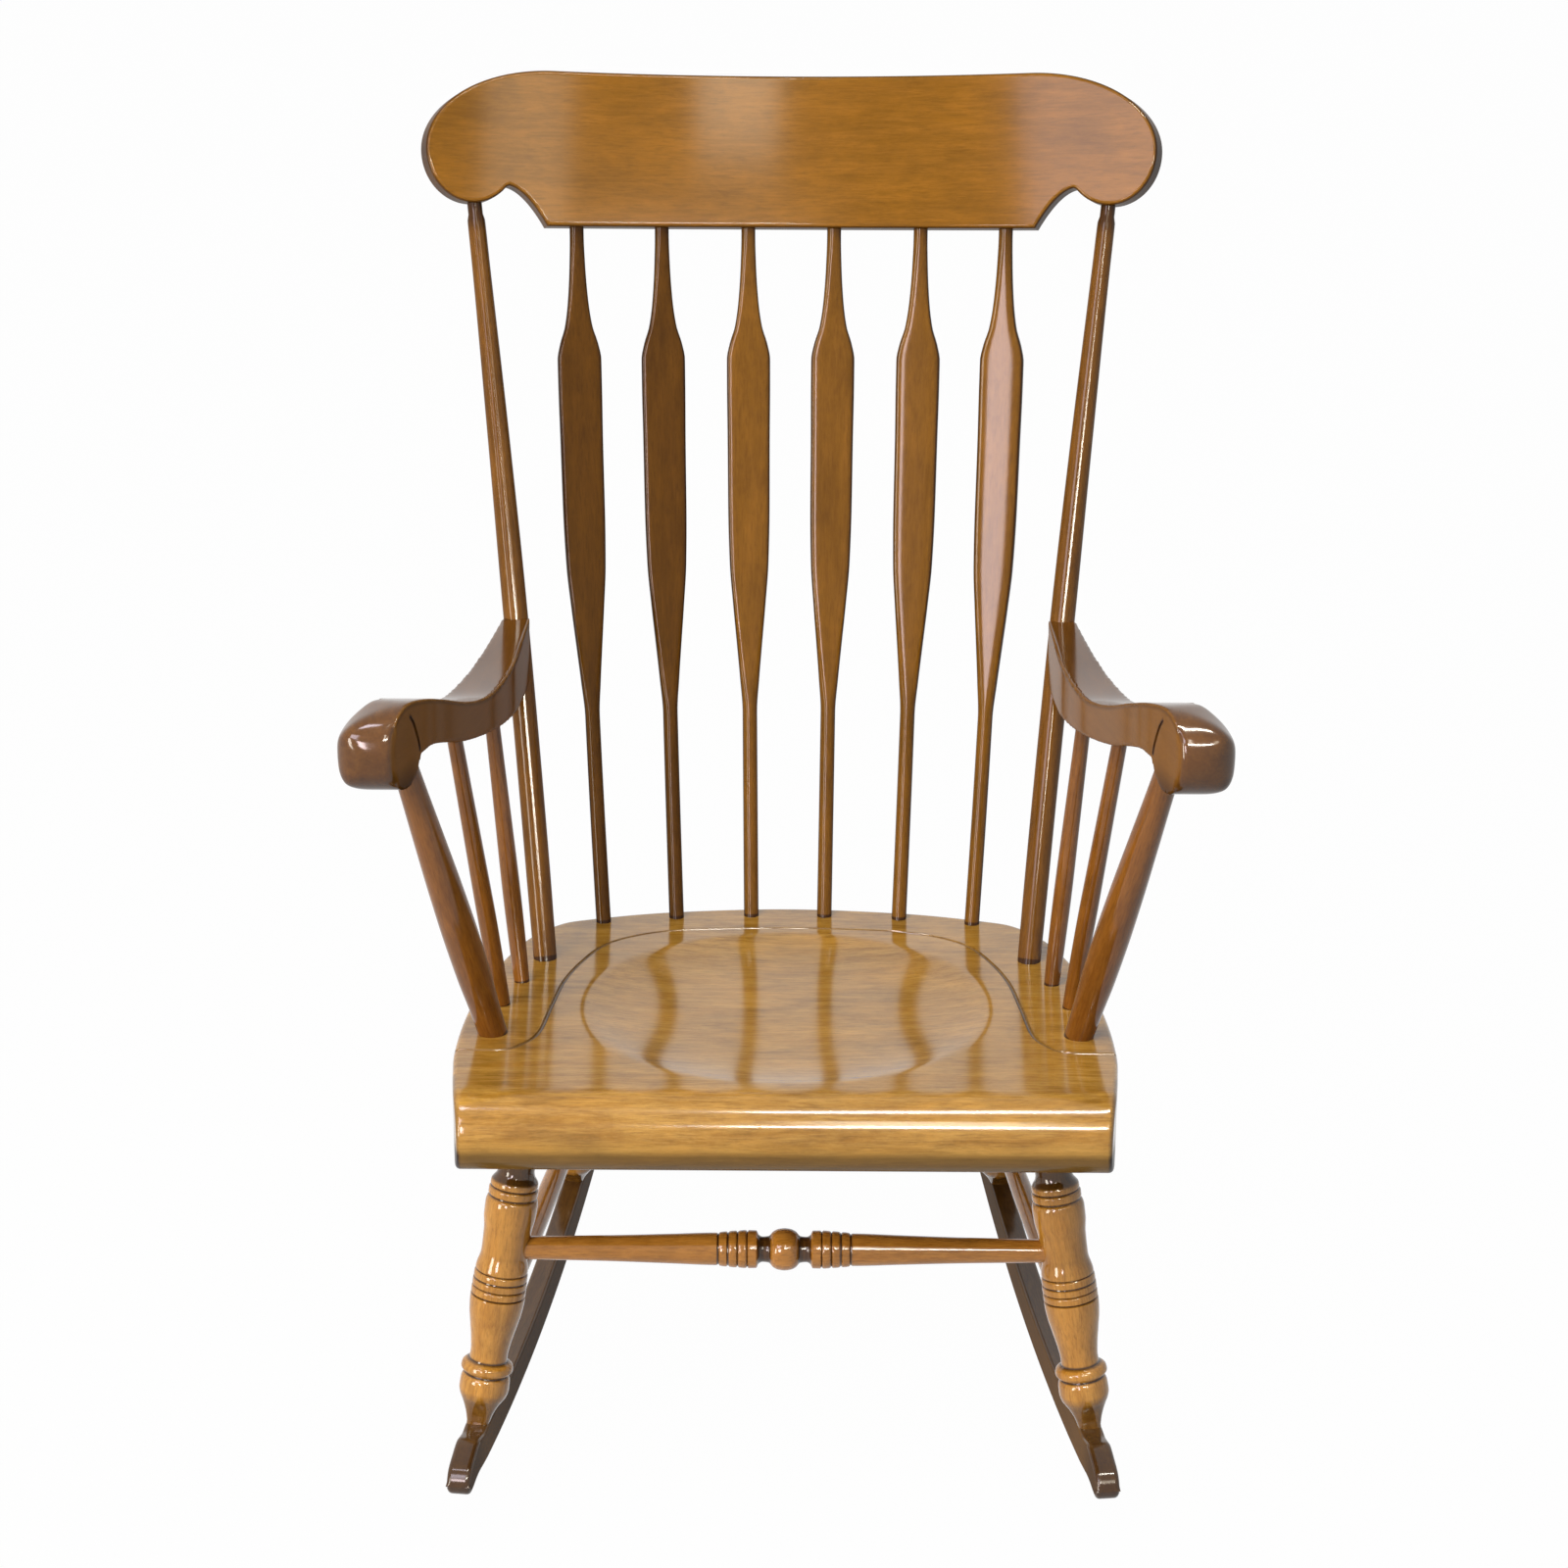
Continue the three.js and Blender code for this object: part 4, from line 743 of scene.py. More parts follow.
def make_crest():
    half = np.concatenate([
        np.linspace(0, CREST_CORNER - 2, 44),
        np.linspace(CREST_CORNER, CREST_CUSP, 16)[:-1],
        CREST_CUSP + (CREST_HALF - CREST_CUSP) * np.sin(np.linspace(0, math.pi / 2, 34)),
    ])
    stations = np.concatenate([-half[:0:-1], half])
    low = np.array([(s, crest_under(abs(s)) - CREST_DROP) for s in stations])
    high = np.array([(s, crest_top(abs(s)) - CREST_DROP) for s in stations])
    rings = board_rings(low, high, CREST_THICKNESS / 2, [CREST_EASE] * len(low))
    places = [[on_crest(*point) for point in ring] for ring in rings]
    along, height, across = np.moveaxis(rings, 2, 0)
    edge = (np.abs(across) < CREST_THICKNESS / 2 - EDGE_MARGIN) * EDGE_DARK
    ends = rising(np.abs(along), CREST_HALF - CREST_END, CREST_END, CREST_END_DARK)
    grain = np.stack([height + CREST_FIGURE, across, along], 2) * MM
    mesh = lofted("bent_crest_rail", places, grain, np.clip(edge + ends, 0, 1))
    finish_piece("bent_crest_rail", mesh, "crest_rail", "lacquered_birch_crest_rail", sharp=55)


make_crest()


# Arms

ARM_TOP = [
    (1.006, 0.49), (0.9, 0.485), (0.69, 0.47), (0.53, 0.49), (0.437, 0.55), (0.344, 0.66),
    (0.251, 0.8), (0.158, 0.93), (0.085, 0.995), (0.04, 0.96), (0.01, 0.85), (0, 0.7),
]
ARM_UNDER_HAND = [(0, 0.7), (0.009, 0.54), (0.035, 0.43), (0.07, 0.4), (0.1, 0.45), (0.122, 0.57)]
ARM_UNDER = [
    (0.122, 0.57), (0.17, 0.57), (0.24, 0.49), (0.32, 0.38), (0.437, 0.26),
    (0.577, 0.15), (0.74, 0.056), (0.88, 0.012), (0.955, 0.005),
]
ARM_INNER = [
    (1.006, 0.687), (0.763, 0.689), (0.647, 0.698), (0.53, 0.716), (0.39, 0.749),
    (0.195, 0.798), (0.08, 0.841), (0, 0.872),
]
ARM_OUTER = [
    (0, 0.93), (0.012, 0.972), (0.04, 1), (0.08, 0.993), (0.13, 0.955), (0.195, 0.909),
    (0.344, 0.86), (0.53, 0.826), (0.69, 0.797), (0.86, 0.775), (1.006, 0.76),
]
HAND_LOW, HAND_HIGH = 0.4, 0.997
# How far past the arm its outlines are drawn out, and where across it the hand's rounding starts
PAST_SHARE, PAST_LEVELS, ROUNDING_SHARE = 1.1, (-0.5, 1.5), 0.9
# The cut in the scroll's inner face, as places back from the seat's front and heights, and its half width
SCROLL_CUT = [(8, 674), (13, 667), (17, 658), (20, 650), (21.5, 643)]
SCROLL_CUT_RADIUS = [0.2, 1.1, 1.5, 1.1, 0.2]
# How much deeper than its half width the cut is
SCROLL_CUT_SHARE = 2.4
ARM_SPREAD = SEAT_WIDTH + 2 * ARM_FLARE
# The forward share of the arm that is its hand, and the marks on the arm: its inner face dulled and painted
# paler as painted light, stain and painted shade in the scroll's cut, a painted dark reflection along the
# upper inner edge and painted shade low on the hand
HAND_SHARE = 0.17
INNER_FACE_REACH, CUT_DARK = (2, 1.6), (2.24, 1.4, 0.95)
ARRIS_REACH, ARRIS_DARK, ARRIS_INSET = 2.5, 0.45, (3.5, 2.5)
HAND_DARK_LEVEL, HAND_DARK_RUN, HAND_DARK, HAND_DARK_SHARES = 0.6, 20, 0.75, (0.13, 0.05)
# The right arm's inner face has kept more of its lacquer, and is painted less pale.
ARM_DULL_AND_LIGHT = {"left": 1.0, "right": 0.7}


def arm_level(share):
    return SEAT_HEIGHT + ARM_HEIGHT + share * ARM_SWEEP


def arm_across(table, along):
    places, shares = np.array(sorted(table)).T
    return np.interp(along, places, shares) * ARM_SPREAD / 2


def arm_point(side, spot):
    """A point under the arm, from its share of the length and its share from the inner to the outer side."""
    along, share = spot
    inner, outer = arm_across(ARM_INNER, along), arm_across(ARM_OUTER, along)
    x = float(inner + (outer - inner) * share)
    level = float(np.interp(along, *np.array(ARM_UNDER).T))
    return Vector((side * x, along * ARM_LENGTH - ARM_REACH, arm_level(level)))


def prism(name, outline, place, low, high):
    """A flat outline drawn out between two levels: place turns outline and level into points."""
    return lofted(name, [place(outline, level) for level in (low, high)])


def arm_solids(side):
    """The three sawn and rounded outlines that the arm is the common part of."""
    profile = np.vstack([spline(ARM_TOP, 120)[:-1], spline(ARM_UNDER_HAND, 50)[:-1], spline(ARM_UNDER, 70)])
    profile = np.stack([profile[:, 0] * ARM_LENGTH - ARM_REACH, arm_level(profile[:, 1])], 1)
    plan = np.vstack([spline(ARM_INNER, 90), spline(ARM_OUTER, 130)])
    plan = np.stack([side * plan[:, 1] * ARM_SPREAD / 2, plan[:, 0] * ARM_LENGTH - ARM_REACH], 1)
    reach, low, high = ARM_SPREAD / 2, arm_level(HAND_LOW), arm_level(HAND_HIGH)
    turn = np.linspace(0, math.pi / 2, 26)
    under = np.stack([reach - HAND_UNDER * (1 - np.sin(turn)), low + HAND_UNDER * (1 - np.cos(turn))], 1)
    over = np.stack([reach - HAND_ROUND * (1 - np.cos(turn)), high - HAND_FALL * (1 - np.sin(turn))], 1)
    inside = ROUNDING_SHARE * reach
    end = np.vstack([
        [(0, low - ARM_SWEEP), (inside, low - ARM_SWEEP), (inside, low)], under, over,
        [(inside, high), (inside, high + ARM_SWEEP), (0, high + ARM_SWEEP)],
    ])

    def across(points, level):
        return np.column_stack([np.full(len(points), level), points])

    def upward(points, level):
        return np.column_stack([points, np.full(len(points), level)])

    def backward(points, level):
        return np.column_stack([side * points[:, 0], np.full(len(points), level), points[:, 1]])

    past = side * reach * PAST_SHARE
    return [
        prism("arm_profile", profile, across, min(0, past), max(0, past)),
        prism("arm_plan", plan, upward, *(arm_level(share) for share in PAST_LEVELS)),
        prism("arm_end", end, backward, -ARM_LENGTH, ARM_LENGTH * PAST_SHARE),
    ]


def softened(name, mesh):
    """A sawn block remade from small even faces with its arrises worn round."""
    body = placed(name, mesh)
    even = body.modifiers.new("even", "REMESH")
    even.mode, even.voxel_size, even.adaptivity = "VOXEL", ARM_FINENESS * MM, 0
    rub = body.modifiers.new("rub", "SMOOTH")
    rub.factor, rub.iterations = 0.5, ARM_EASING
    soft = baked(body)
    # The hand's outer end is worked rounder than the rest.
    shell = bmesh.new()
    shell.from_mesh(soft)
    bound = in_place([(0, HAND_SHARE * ARM_LENGTH - ARM_REACH, SEAT_HEIGHT + ARM_HEIGHT)])[0][1]
    outer = [v for v in shell.verts if abs(v.co.x) > HAND_OUTER * MM and v.co.y < bound]
    every_way = {"use_axis_x": True, "use_axis_y": True, "use_axis_z": True}
    for _ in range(HAND_EASING):
        bmesh.ops.smooth_vert(shell, verts=outer, factor=0.5, **every_way)
    shell.to_mesh(soft)
    shell.free()
    return soft


def scroll_cutter(side):
    """A thin tapering sweep that cuts the crescent into the scroll's inner face."""
    path = spline(SCROLL_CUT, 25)
    radius = np.interp(np.linspace(0, 1, 25), np.linspace(0, 1, 5), SCROLL_CUT_RADIUS)
    rings = []
    for place, normal, half in zip(path, square_to(path), radius):
        x = arm_across(ARM_INNER, (place[0] + ARM_REACH) / ARM_LENGTH)
        ring = []
        for angle in np.linspace(0, 2 * math.pi, 12, endpoint=False):
            out = place + normal * half * math.cos(angle)
            ring.append((side * (x + SCROLL_CUT_SHARE * half * math.sin(angle)), *out))
        rings.append(ring)
    return lofted("scroll_cutter", rings)


def make_arm(name, side):
    block = softened(f"arm_block_{name}", joined(f"arm_block_{name}", arm_solids(side), "INTERSECT"))
    mesh = joined(f"scrolled_arm_{name}", [block, scroll_cutter(side)], "DIFFERENCE")
    own = points_of(mesh)
    height = own[:, 2]
    shares = (own[:, 1] + ARM_REACH) / ARM_LENGTH
    inset = np.abs(own[:, 0]) - arm_across(ARM_INNER, shares)
    # The inner face is worn dull and painted paler as painted light; the scroll's cut takes stain and painted
    # shade, the upper inner edge a painted dark reflection and the hand painted shade low down.
    inner = falling(inset, *INNER_FACE_REACH)
    gap = np.min(np.linalg.norm(own[:, None, 1:] - spline(SCROLL_CUT, 25)[None], axis=2), axis=1)
    profile = spline(ARM_TOP, 200)
    below = arm_level(np.interp(shares, profile[::-1, 0], profile[::-1, 1])) - height
    arris = falling(np.abs(below - ARRIS_REACH), ARRIS_REACH, ARRIS_REACH, ARRIS_DARK)
    low = falling(height, arm_level(HAND_DARK_LEVEL), HAND_DARK_RUN, HAND_DARK)
    stain = falling(gap, *CUT_DARK) * inner + arris * falling(inset, *ARRIS_INSET)
    stain = np.clip(stain + low * falling(shares, *HAND_DARK_SHARES), 0, 1)
    grain = np.stack([own[:, 0], height + ARM_FIGURE * side, own[:, 1]], 1) * MM
    mark(mesh, grain, stain, inner * ARM_DULL_AND_LIGHT[name])
    finish_piece(f"scrolled_arm_{name}", mesh, f"arm_{name}", "dark_lacquered_birch_arms", sharp=60)


for label, side in SIDES.items():
    make_arm(label, side)


# Rockers

NOSE_TOP = [
    (0.1, 0.88), (0.23, 0.875), (0.37, 0.94), (0.5, 1), (0.7, 0.945), (0.88, 0.86), (0.97, 0.72), (1, 0.6),
]
NOSE_UNDER = [(0.6, 0.375), (0.8, 0.385), (0.93, 0.4), (0.985, 0.5), (1, 0.6)]
# Shares of the nose, from the front foot forwards, over which its top, its underside and its ease take over
NOSE_TIP_SHARE, TOP_SHARES, UNDER_SHARES, EASE_SHARES = 0.99, (0.02, 0.1), (0.55, 0.25), (0.2, 0.3)
# How far from its end the tail closes, and where its sections start to turn and over how much
TAIL_ROUND, TAIL_TURN = 15, (-70, 50)
# Stain on the nose: how far ahead of the foot it starts, over how much it grows and how strong it is
NOSE_DARK = (-22, 30, 0.5)


def rocker_run(y):
    """Place along the rocker, from its lowest point, at a place along the chair."""
    return (y - ROCKER_LOW) / math.cos(ROCKER_TOE)


def rocker_x(y):
    return SEAT_WIDTH / 2 - ROCKER_INSET - math.tan(ROCKER_TOE) * y


def rocker_arc(run, radius):
    """Height over the floor, at a place along the rocker, of an arc round the rocker's own centre."""
    return ROCKER_RADIUS - np.sqrt(radius**2 - run * run)


def rocker_top(run):
    return rocker_arc(run, ROCKER_RADIUS - ROCKER_HEIGHT)


def make_rocker(name, side):
    foot, tail = rocker_run(FRONT_FOOT), rocker_run(ROCKER_TAIL)
    length = NOSE_LENGTH * NOSE_TIP_SHARE
    tip, close = foot - length, tail - TAIL_ROUND
    # Stations crowd where the nose and the tail turn.
    runs = np.concatenate([
        tip + (foot - 0.1 * NOSE_LENGTH - tip) * (1 - np.cos(np.linspace(0, math.pi / 2, 36))),
        np.linspace(foot - 0.08 * NOSE_LENGTH, close, 90)[1:],
        close + TAIL_ROUND * np.sin(np.linspace(0, math.pi / 2, 12))[1:],
    ])
    forward = (foot - runs) / length
    arc_top, arc_under = rocker_top(runs), rocker_arc(runs, ROCKER_RADIUS - ROCKER_CLEAR)
    nose_top, nose_under = (soft_curve(table, forward) * NOSE_HEIGHT for table in (NOSE_TOP, NOSE_UNDER))
    upper, lower = rising(forward, *TOP_SHARES), rising(forward, *UNDER_SHARES)
    # Aft of where the nose's own outline starts, its top is the arc's.
    nose_top = np.where(forward > NOSE_TOP[0][0], nose_top, arc_top)
    top = arc_top * (1 - upper) + nose_top * upper
    under = arc_under * (1 - lower) + nose_under * lower
    middle = (arc_top + arc_under) / 2
    closed = np.sqrt(np.clip(1 - rising(runs, close, TAIL_ROUND) ** 2, 0, 1))
    low, high = (np.stack([runs, middle + (face - middle) * closed], 1) for face in (under, top))
    # The nose is worked rounder than the runner.
    eases = ROCKER_EASE + rising(forward, *EASE_SHARES, NOSE_EASE - ROCKER_EASE)
    rings = board_rings(low, high, ROCKER_THICKNESS / 2, eases)
    along, height, across = np.moveaxis(rings, 2, 0)
    # Towards the tail the sections turn square to the arc.
    turned = rising(runs - tail, *TAIL_TURN) * runs / ROCKER_RADIUS
    along = along - (height - arc_under[:, None]) * turned[:, None]
    x = rocker_x(ROCKER_LOW) - along * math.sin(ROCKER_TOE) + across * math.cos(ROCKER_TOE)
    y = ROCKER_LOW + along * math.cos(ROCKER_TOE) + across * math.sin(ROCKER_TOE)
    # The sides are duller than the nose and the top, which hands and cloths polish, and the dull mark also
    # paints them a little paler, as painted light.
    dull = (np.abs(across) > ROCKER_THICKNESS / 2 - EDGE_MARGIN) * 1.0
    grain = np.stack([across, height + ROCKER_FIGURE * side, along], 2) * MM
    places = np.stack([side * x, y, height], 2)
    mesh = lofted(f"curved_rocker_{name}", places, grain, falling(along - foot, *NOSE_DARK), dull)
    finish_piece(f"curved_rocker_{name}", mesh, f"rocker_{name}", "dark_lacquered_birch_rockers", sharp=50)


for label, side in SIDES.items():
    make_rocker(label, side)


# Back posts, arm posts and arm spindles

POST_SHARES = [
    (0, 0.95), (0.12, 1), (0.45, 1.02), (0.7, 0.9), (0.93, 0.74), (0.984, 0.72), (0.99, 0.6), (1, 0.6),
]
# Darkening at the posts' tops, from their ends
POST_TOP_DARK = (-22, 10, 0.7)
ARM_POST_BASE, ARM_POST_TOP = (0.896, 0.2545), (0.138, 0.45)
ARM_POST_SHARES = [
    (0, 0.83), (0.1, 0.87), (0.22, 0.97), (0.36, 1), (0.52, 0.955), (0.7, 0.85), (0.85, 0.75), (1, 0.67),
]
ARM_ROD_BASES, ARM_ROD_TOPS = [(0.893, 0.406), (0.853, 0.536)], [(0.391, 0.45), (0.63, 0.37)]
ARM_ROD_SHARES = [(0, 0.86), (0.15, 0.95), (0.35, 1), (0.6, 0.93), (0.8, 0.86), (1, 0.8)]


def make_arm_stick(name, node, side, base, top, table, radius, count, sides):
    """A turned stick from a place on the seat to a place under the arm."""
    start, end = on_seat(side, base), arm_point(side, top)
    rows = lengthened(turning(table, (end - start).length, radius, count), SOCKET_DEPTH, ARM_TENON)
    stick(name, node, start, end, rows, "lacquered_birch_arm_spindles", sides=sides, foot=FOOT_STAIN)


for label, side in SIDES.items():
    start, end = post_ends(side)
    rows = turning(POST_SHARES, POST_LENGTH, POST_RADIUS, 130)
    rows[:, 4] = np.maximum(rows[:, 4], rising(rows[:, 0] - POST_LENGTH, *POST_TOP_DARK))
    rows = lengthened(rows, SOCKET_DEPTH, POST_TENON)
    name, node = f"back_post_turned_{label}", f"back_post_{label}"
    stick(name, node, start, end, rows, "lacquered_birch_posts", bow=POST_BOW, foot=FOOT_STAIN)
    name, node = f"arm_post_turned_{label}", f"arm_post_{label}"
    make_arm_stick(name, node, side, ARM_POST_BASE, ARM_POST_TOP, ARM_POST_SHARES, ARM_POST_RADIUS, 70, 48)
    for i, (base, top) in enumerate(zip(ARM_ROD_BASES, ARM_ROD_TOPS)):
        name, node = f"arm_spindle_turned_{label}_{i + 1}", f"arm_spindle_{label}_{i + 1}"
        make_arm_stick(name, node, side, base, top, ARM_ROD_SHARES, ARM_ROD_RADIUS, 60, 36)


# Arrow spindles: rows of place, share of the full width and share of the full thickness

ARROW_BASES, ARROW_TOPS = [(0.126, 0.948), (0.383, 0.933), (0.631, 0.902)], [0.117, 0.353, 0.585]
ARROW_BLADE = [
    (0, 0, 0), (0.3, 0, 0), (0.35, 0.17, 0.3), (0.4, 0.38, 0.6), (0.46, 0.64, 0.85), (0.52, 0.86, 1),
    (0.6, 0.95, 1), (0.7, 0.97, 1), (0.78, 1, 1), (0.815, 1, 1), (0.838, 0.8, 0.95), (0.862, 0.45, 0.8),
    (0.9, 0.2, 0.5), (0.95, 0.05, 0.2), (0.99, 0, 0), (1, 0, 0),
]
# Where the round foot turns into the flat neck, how it darkens towards the top, and the painted shade along a
# blade's sides
NECK_SHARES, TOP_DARK_SHARES, BLADE_RIM = (0.5, 0.3), (0.9, 0.1, 0.25), 0.85
# How much squarer than round a blade's section is
BLADE_CORNER = 3.4


def arrow_stations(length):
    places = np.linspace(0, 1, 150)
    wide, deep = soft_curve(ARROW_BLADE, places, 1), soft_curve(ARROW_BLADE, places, 2)
    neck = rising(places, *NECK_SHARES)
    thin_width = ARROW_FOOT_RADIUS * (1 - neck) + ARROW_NECK_WIDTH / 2 * neck
    thin_depth = ARROW_FOOT_RADIUS * (1 - neck) + ARROW_NECK_THICKNESS / 2 * neck
    half_width = thin_width + (ARROW_WIDTH / 2 - thin_width) * wide
    half_depth = thin_depth + (ARROW_THICKNESS / 2 - thin_depth) * deep
    corner, stain = ROUND + BLADE_CORNER * deep, rising(places, *TOP_DARK_SHARES)
    rows = np.stack([places * length, half_width, half_depth, corner, stain], 1)
    return lengthened(rows, SOCKET_DEPTH, ARROW_TENON)


for i, (side, number) in enumerate([(-1, 2), (-1, 1), (-1, 0), (1, 0), (1, 1), (1, 2)]):
    along = side * ARROW_TOPS[number] * CREST_HALF
    start = on_seat(side, ARROW_BASES[number])
    end = on_crest(along, crest_under(abs(along)) - CREST_DROP, 0)
    turn = along / CREST_BEND
    facing = RIGHT * math.sin(turn) + CREST_BACK * math.cos(turn)
    rows = arrow_stations((end - start).length)
    # The two at the left took the stain darker.
    finish = "dark_lacquered_birch_arrow_spindles" if i < 2 else "lacquered_birch_arrow_spindles"
    name, node = f"arrow_spindle_blade_{i + 1}", f"arrow_spindle_{i + 1}"
    stick(name, node, start, end, rows, finish, facing, ARROW_BOW, 64, BLADE_RIM, FOOT_STAIN)


# Legs and stretchers

# Rows of place up the leg, share of its greatest radius and, where it isn't round, corner power
LEG = [
    (0, 0.42, 4.5), (0.025, 0.5, 4), (0.05, 0.63, 3), (0.068, 0.77, 2.2), (0.078, 0.85), (0.1, 0.915),
    (0.125, 0.905), (0.139, 0.85), (0.145, 0.78), (0.151, 0.88), (0.16, 0.955), (0.172, 0.93), (0.181, 0.82),
    (0.186, 0.7), (0.205, 0.69), (0.24, 0.74), (0.29, 0.86), (0.335, 0.965), (0.37, 1), (0.378, 0.998),
    (0.382, 0.93), (0.386, 0.998), (0.402, 0.998), (0.406, 0.93), (0.41, 0.996), (0.426, 0.99), (0.43, 0.925),
    (0.434, 0.985), (0.45, 0.975), (0.454, 0.91), (0.458, 0.96), (0.51, 0.845), (0.575, 0.87), (0.62, 0.945),
    (0.655, 0.955), (0.672, 0.91), (0.678, 0.84), (0.684, 0.9), (0.7, 0.9), (0.705, 0.83), (0.711, 0.87),
    (0.722, 0.86), (0.73, 0.8), (0.742, 0.7), (0.757, 0.66), (1, 0.66),
]
LEG_TOPS = {"front": (0.78, 0.193), "rear": (0.689, 0.8)}
LEG_FEET = {"front": FRONT_FOOT, "rear": REAR_FOOT}
# Darkening at the leg's foot, and where the painted shadow of the seat on its neck starts and ends
LEG_FOOT_SHARES, NECK_START_SHARES, NECK_END_SHARES = (0.1, 0.035, 0.6), (0.72, 0.008), (0.8, 0.03, 0.85)
# Rows of place from the stretcher's middle to its end and share of its greatest radius
TURNED_STRETCHER = [
    (0, 1), (0.025, 0.96), (0.045, 0.84), (0.062, 0.63), (0.085, 0.6), (0.103, 0.72), (0.108, 0.89),
    (0.14, 0.9), (0.145, 0.82), (0.15, 0.9), (0.178, 0.87), (0.183, 0.79), (0.188, 0.87), (0.215, 0.84),
    (0.22, 0.76), (0.225, 0.83), (0.253, 0.79), (0.258, 0.71), (0.263, 0.77), (0.45, 0.7), (0.7, 0.61),
    (1, 0.55),
]
PLAIN_STRETCHER = [(0, 1), (0.3, 0.98), (0.7, 0.87), (1, 0.74)]


def leg_ends(side, spot):
    y = LEG_FEET[spot]
    foot = Vector((side * rocker_x(y), y, float(rocker_top(rocker_run(y)))))
    return foot, on_seat(side, LEG_TOPS[spot], SEAT_THICKNESS)


def on_leg(side, spot, height):
    """The point on a leg's middle at a height, and the leg's radius there."""
    foot, top = leg_ends(side, spot)
    share = (height - foot.z) / (top.z - foot.z)
    return foot.lerp(top, share), LEG_RADIUS * float(soft_curve(LEG, share))


for label, side in SIDES.items():
    # The squared feet stand in line with the rocker.
    facing = Vector((-side * math.sin(ROCKER_TOE), math.cos(ROCKER_TOE), 0))
    for spot in LEG_TOPS:
        start, end = leg_ends(side, spot)
        length = (end - start).length
        rows = turning(LEG, length, LEG_RADIUS, 400)
        places = rows[:, 0] / length
        # The neck just under the seat takes painted shadow.
        neck = rising(places, *NECK_START_SHARES) * falling(places, *NECK_END_SHARES)
        rows[:, 4] = np.maximum(rows[:, 4], np.maximum(falling(places, *LEG_FOOT_SHARES), neck))
        rows = lengthened(rows, FOOT_TENON, LEG_TENON)
        name, node = f"turned_{spot}_leg_{label}", f"{spot}_leg_{label}"
        stick(name, node, start, end, rows, "lacquered_birch_turned_legs", facing, sides=56)


def make_stretcher(node, first, last, table, radius, count=60, sides=40):
    """A stretcher between two legs, each given as a point and the leg's radius there."""
    (start, near), (end, far) = first, last
    half = ((end - start).length - near - far) / 2
    both = [(-out, share) for out, share in table[::-1]] + table[1:]
    rows = turning(both, half, radius, count)
    rows[:, 0] += near + half
    rows = lengthened(rows, STRETCHER_TENON, STRETCHER_TENON)
    stick("turned_" + node, node, start, end, rows, "lacquered_birch_stretchers", sides=sides)


ends = [on_leg(side, "front", FRONT_STRETCHER_HEIGHT) for side in (-1, 1)]
make_stretcher("front_stretcher", *ends, TURNED_STRETCHER, FRONT_STRETCHER_RADIUS, 520, 56)
ends = [on_leg(side, "rear", REAR_STRETCHER_HEIGHT) for side in (-1, 1)]
make_stretcher("rear_stretcher", *ends, PLAIN_STRETCHER, REAR_STRETCHER_RADIUS)
for label, side in SIDES.items():
    ends = [on_leg(side, spot, SIDE_STRETCHER_HEIGHT) for spot in LEG_TOPS]
    make_stretcher(f"side_stretcher_{label}", *ends, PLAIN_STRETCHER, SIDE_STRETCHER_RADIUS)


# Arm fixings keep their CAD shape and take their finish.

for label in SIDES:
    for node, finish in (("arm_screw", SCREW_STEEL), ("arm_screw_plug", MATERIALS["lacquered_birch_posts"])):
        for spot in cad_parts[f"{node}_{label}"].material_slots:
            spot.material = finish


# Stage, light and camera

FLOOR_GLOW = 0.985


def add_light(name, place, target, size, power, colour, lights=True, mirrored=True):
    """An oblong lamp. It may only light the chair, only be mirrored in it, or both."""
    lamp = bpy.data.lights.new(name, "AREA")
    lamp.shape, lamp.size, lamp.size_y, lamp.energy = "RECTANGLE", size[0], size[1], power
    lamp.color = linear(colour)[:3]
    light = placed(name, lamp)
    light.location = place
    light.rotation_euler = (Vector(target) - Vector(place)).to_track_quat("-Z", "Y").to_euler()
    light.visible_diffuse, light.visible_glossy = lights, mirrored


def shown_white(tree):
    """1 for the camera and for what is mirrored or seen through, 0 for what lights the chair."""
    path = add(tree, "ShaderNodeLightPath").outputs
    seen = add(tree, "ShaderNodeMath", {0: path["Is Camera Ray"], 1: path["Is Glossy Ray"]}, operation="ADD")
    links = {0: seen.outputs[0], 1: path["Is Transmission Ray"]}
    return add(tree, "ShaderNodeMath", links, operation="ADD", use_clamp=True).outputs[0]


def pale_floor():
    """A wide pale floor: white to the camera and in reflections, and it keeps the chair's soft shadow."""
    material, tree = new_material("pale_studio_floor")
    share = add(tree, "ShaderNodeMath", {0: shown_white(tree), 1: FLOOR_GLOW}, operation="MULTIPLY")
    matt = add(tree, "ShaderNodeBsdfDiffuse", {"Color": linear("A8A6A4")})
    white = add(tree, "ShaderNodeEmission", {"Color": (1, 1, 1, 1), "Strength": 1.0})
    mixed = add(tree, "ShaderNodeMixShader", {0: share.outputs[0], 1: matt.outputs[0], 2: white.outputs[0]})
    add(tree, "ShaderNodeOutputMaterial", {"Surface": mixed.outputs[0]})
    mesh = bpy.data.meshes.new("studio_floor")
    mesh.from_pydata([(-20, -12, 0), (20, -12, 0), (20, 40, 0), (-20, 40, 0)], [], [(0, 1, 2, 3)])
    mesh.materials.append(material)
    placed("studio_floor", mesh)


pale_floor()

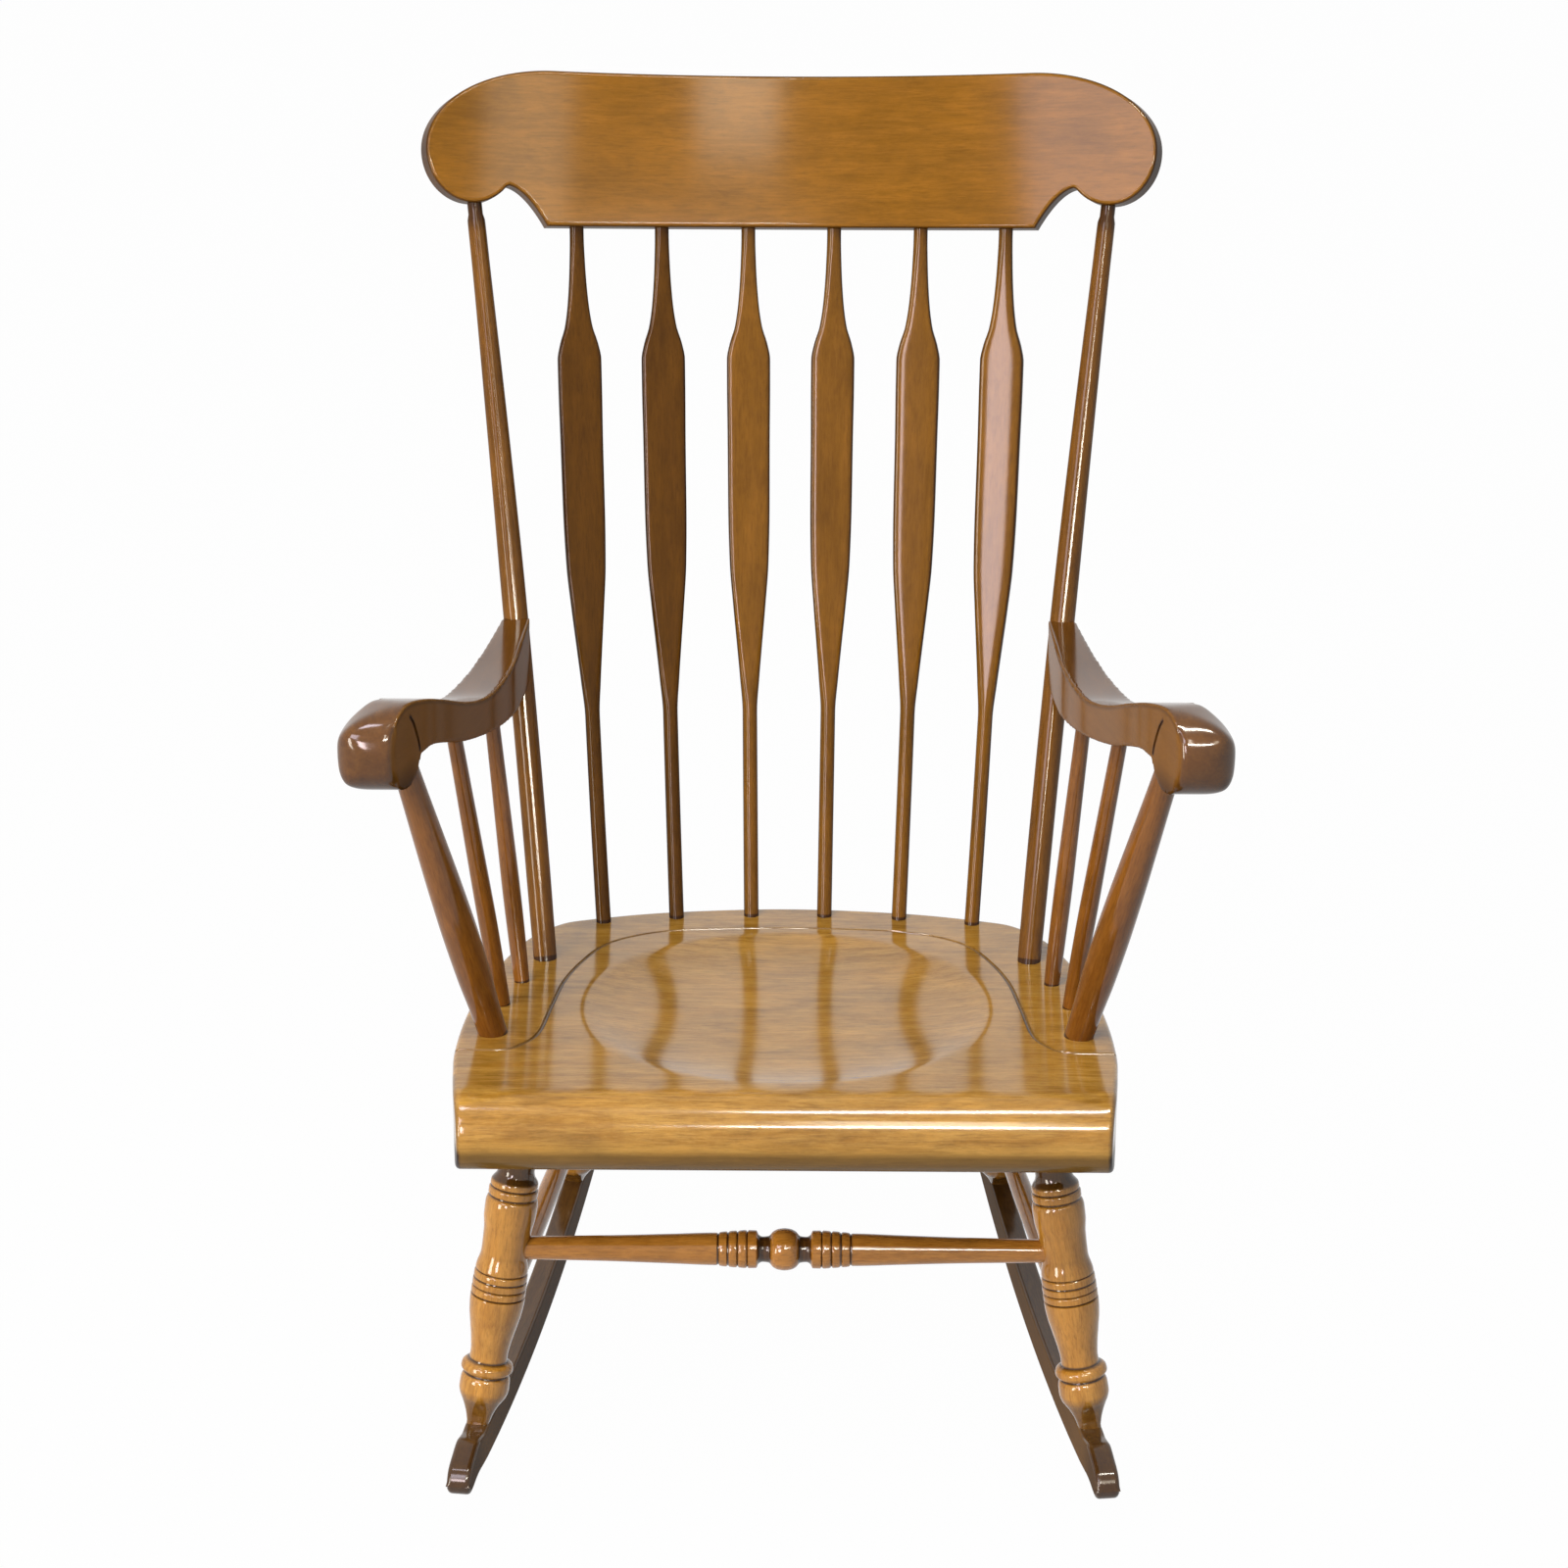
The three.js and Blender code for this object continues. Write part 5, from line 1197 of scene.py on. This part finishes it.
world = bpy.data.worlds.new("studio_air")
bpy.context.scene.world = world
world.use_nodes = True
world.node_tree.nodes.clear()
air = add(world.node_tree, "ShaderNodeBackground", {"Color": linear("F6F4F2"), "Strength": 0.24})
white = add(world.node_tree, "ShaderNodeBackground", {"Color": (1, 1, 1, 1), "Strength": 1.0})
links = {0: shown_white(world.node_tree), 1: air.outputs[0], 2: white.outputs[0]}
both = add(world.node_tree, "ShaderNodeMixShader", links)
add(world.node_tree, "ShaderNodeOutputWorld", {"Surface": both.outputs[0]})

# Two long tubes to the right make the paired stripes on the seat's roll, the front stretcher and the hands.
add_light("tube_low", (0.41, -2.5, 1.88), (0.2, -0.3, 0.4), (1.02, 0.11), 44, "FFFAEC", lights=False)
add_light("tube_high", (0.41, -0.7, 2.5), (0.2, -0.3, 0.4), (1.02, 0.11), 44, "FFFAEC", lights=False)
# Broad soft lamps ahead draw the glows on the crest rail.
add_light("broad_front", (0.27, -3.0, 2.95), (0, 0, 0.9), (0.46, 0.9), 19, "FFF8E4", lights=False)
add_light("broad_right", (1.47, -3.0, 2.6), (0, 0, 0.9), (0.5, 0.8), 11, "FFF4DC", lights=False)
# A small lamp left of the camera veils the outer arrow spindle, and one overhead whitens the left hand.
add_light("blade_glow", (-0.98, -2.6, 1.2), (0, 0, 0.8), (0.34, 0.7), 21, "FFECF0", lights=False)
add_light("hand_glow", (-0.85, -0.8, 3.2), (-0.3, -0.3, 0.6), (0.4, 0.4), 9, "F6F0FF", lights=False)
# Two lamps at the left model the turnings, and the upper one veils the crest rail's right lobe.
add_light("broad_left", (-1.7, -2.5, 2.5), (0, 0, 0.7), (1.2, 1.1), 42, "FAF0FF")
add_light("side_left", (-2.5, -2.3, 0.9), (0, 0, 0.3), (0.7, 1.5), 60, "FFF6E8")
# Two even lamps carry the plain level and aren't mirrored in the lacquer.
add_light("fill_front", (-0.5, -4.6, 1.4), (0, 0, 0.5), (3, 2.4), 18, "FFFFFF", mirrored=False)
add_light("key_above", (-0.5, -1.2, 3.2), (0, 0, 0.6), (2.2, 1.4), 74, "FFFFFF", mirrored=False)

LENS_PIXELS, FRAME_PIXELS = 2807.1, 1600
CAMERA_PLACE = Vector((10.4, -1944.1, 1351.5))
CAMERA_PITCH, CAMERA_YAW, CAMERA_ROLL = math.radians(20.5), math.radians(-0.348), math.radians(0.2)
lens = bpy.data.cameras.new("photo_camera")
lens.sensor_width = 36
lens.sensor_fit = "HORIZONTAL"
lens.lens = LENS_PIXELS / FRAME_PIXELS * lens.sensor_width
lens.clip_start, lens.clip_end = 0.05, 100
camera = placed("photo_camera", lens)
ahead = BACK * math.cos(CAMERA_YAW) + RIGHT * math.sin(CAMERA_YAW)
forward = ahead * math.cos(CAMERA_PITCH) - UP * math.sin(CAMERA_PITCH)
level = RIGHT * math.cos(CAMERA_YAW) - BACK * math.sin(CAMERA_YAW)
above = level.cross(forward)
right = level * math.cos(CAMERA_ROLL) + above * math.sin(CAMERA_ROLL)
above = above * math.cos(CAMERA_ROLL) - level * math.sin(CAMERA_ROLL)
own = Matrix((right, above, -forward)).transposed().to_4x4()
own.translation = CAMERA_PLACE
posed = REST @ own
posed.translation *= MM
camera.matrix_world = posed
bpy.context.scene.camera = camera

bpy.context.scene.view_settings.view_transform = "Standard"
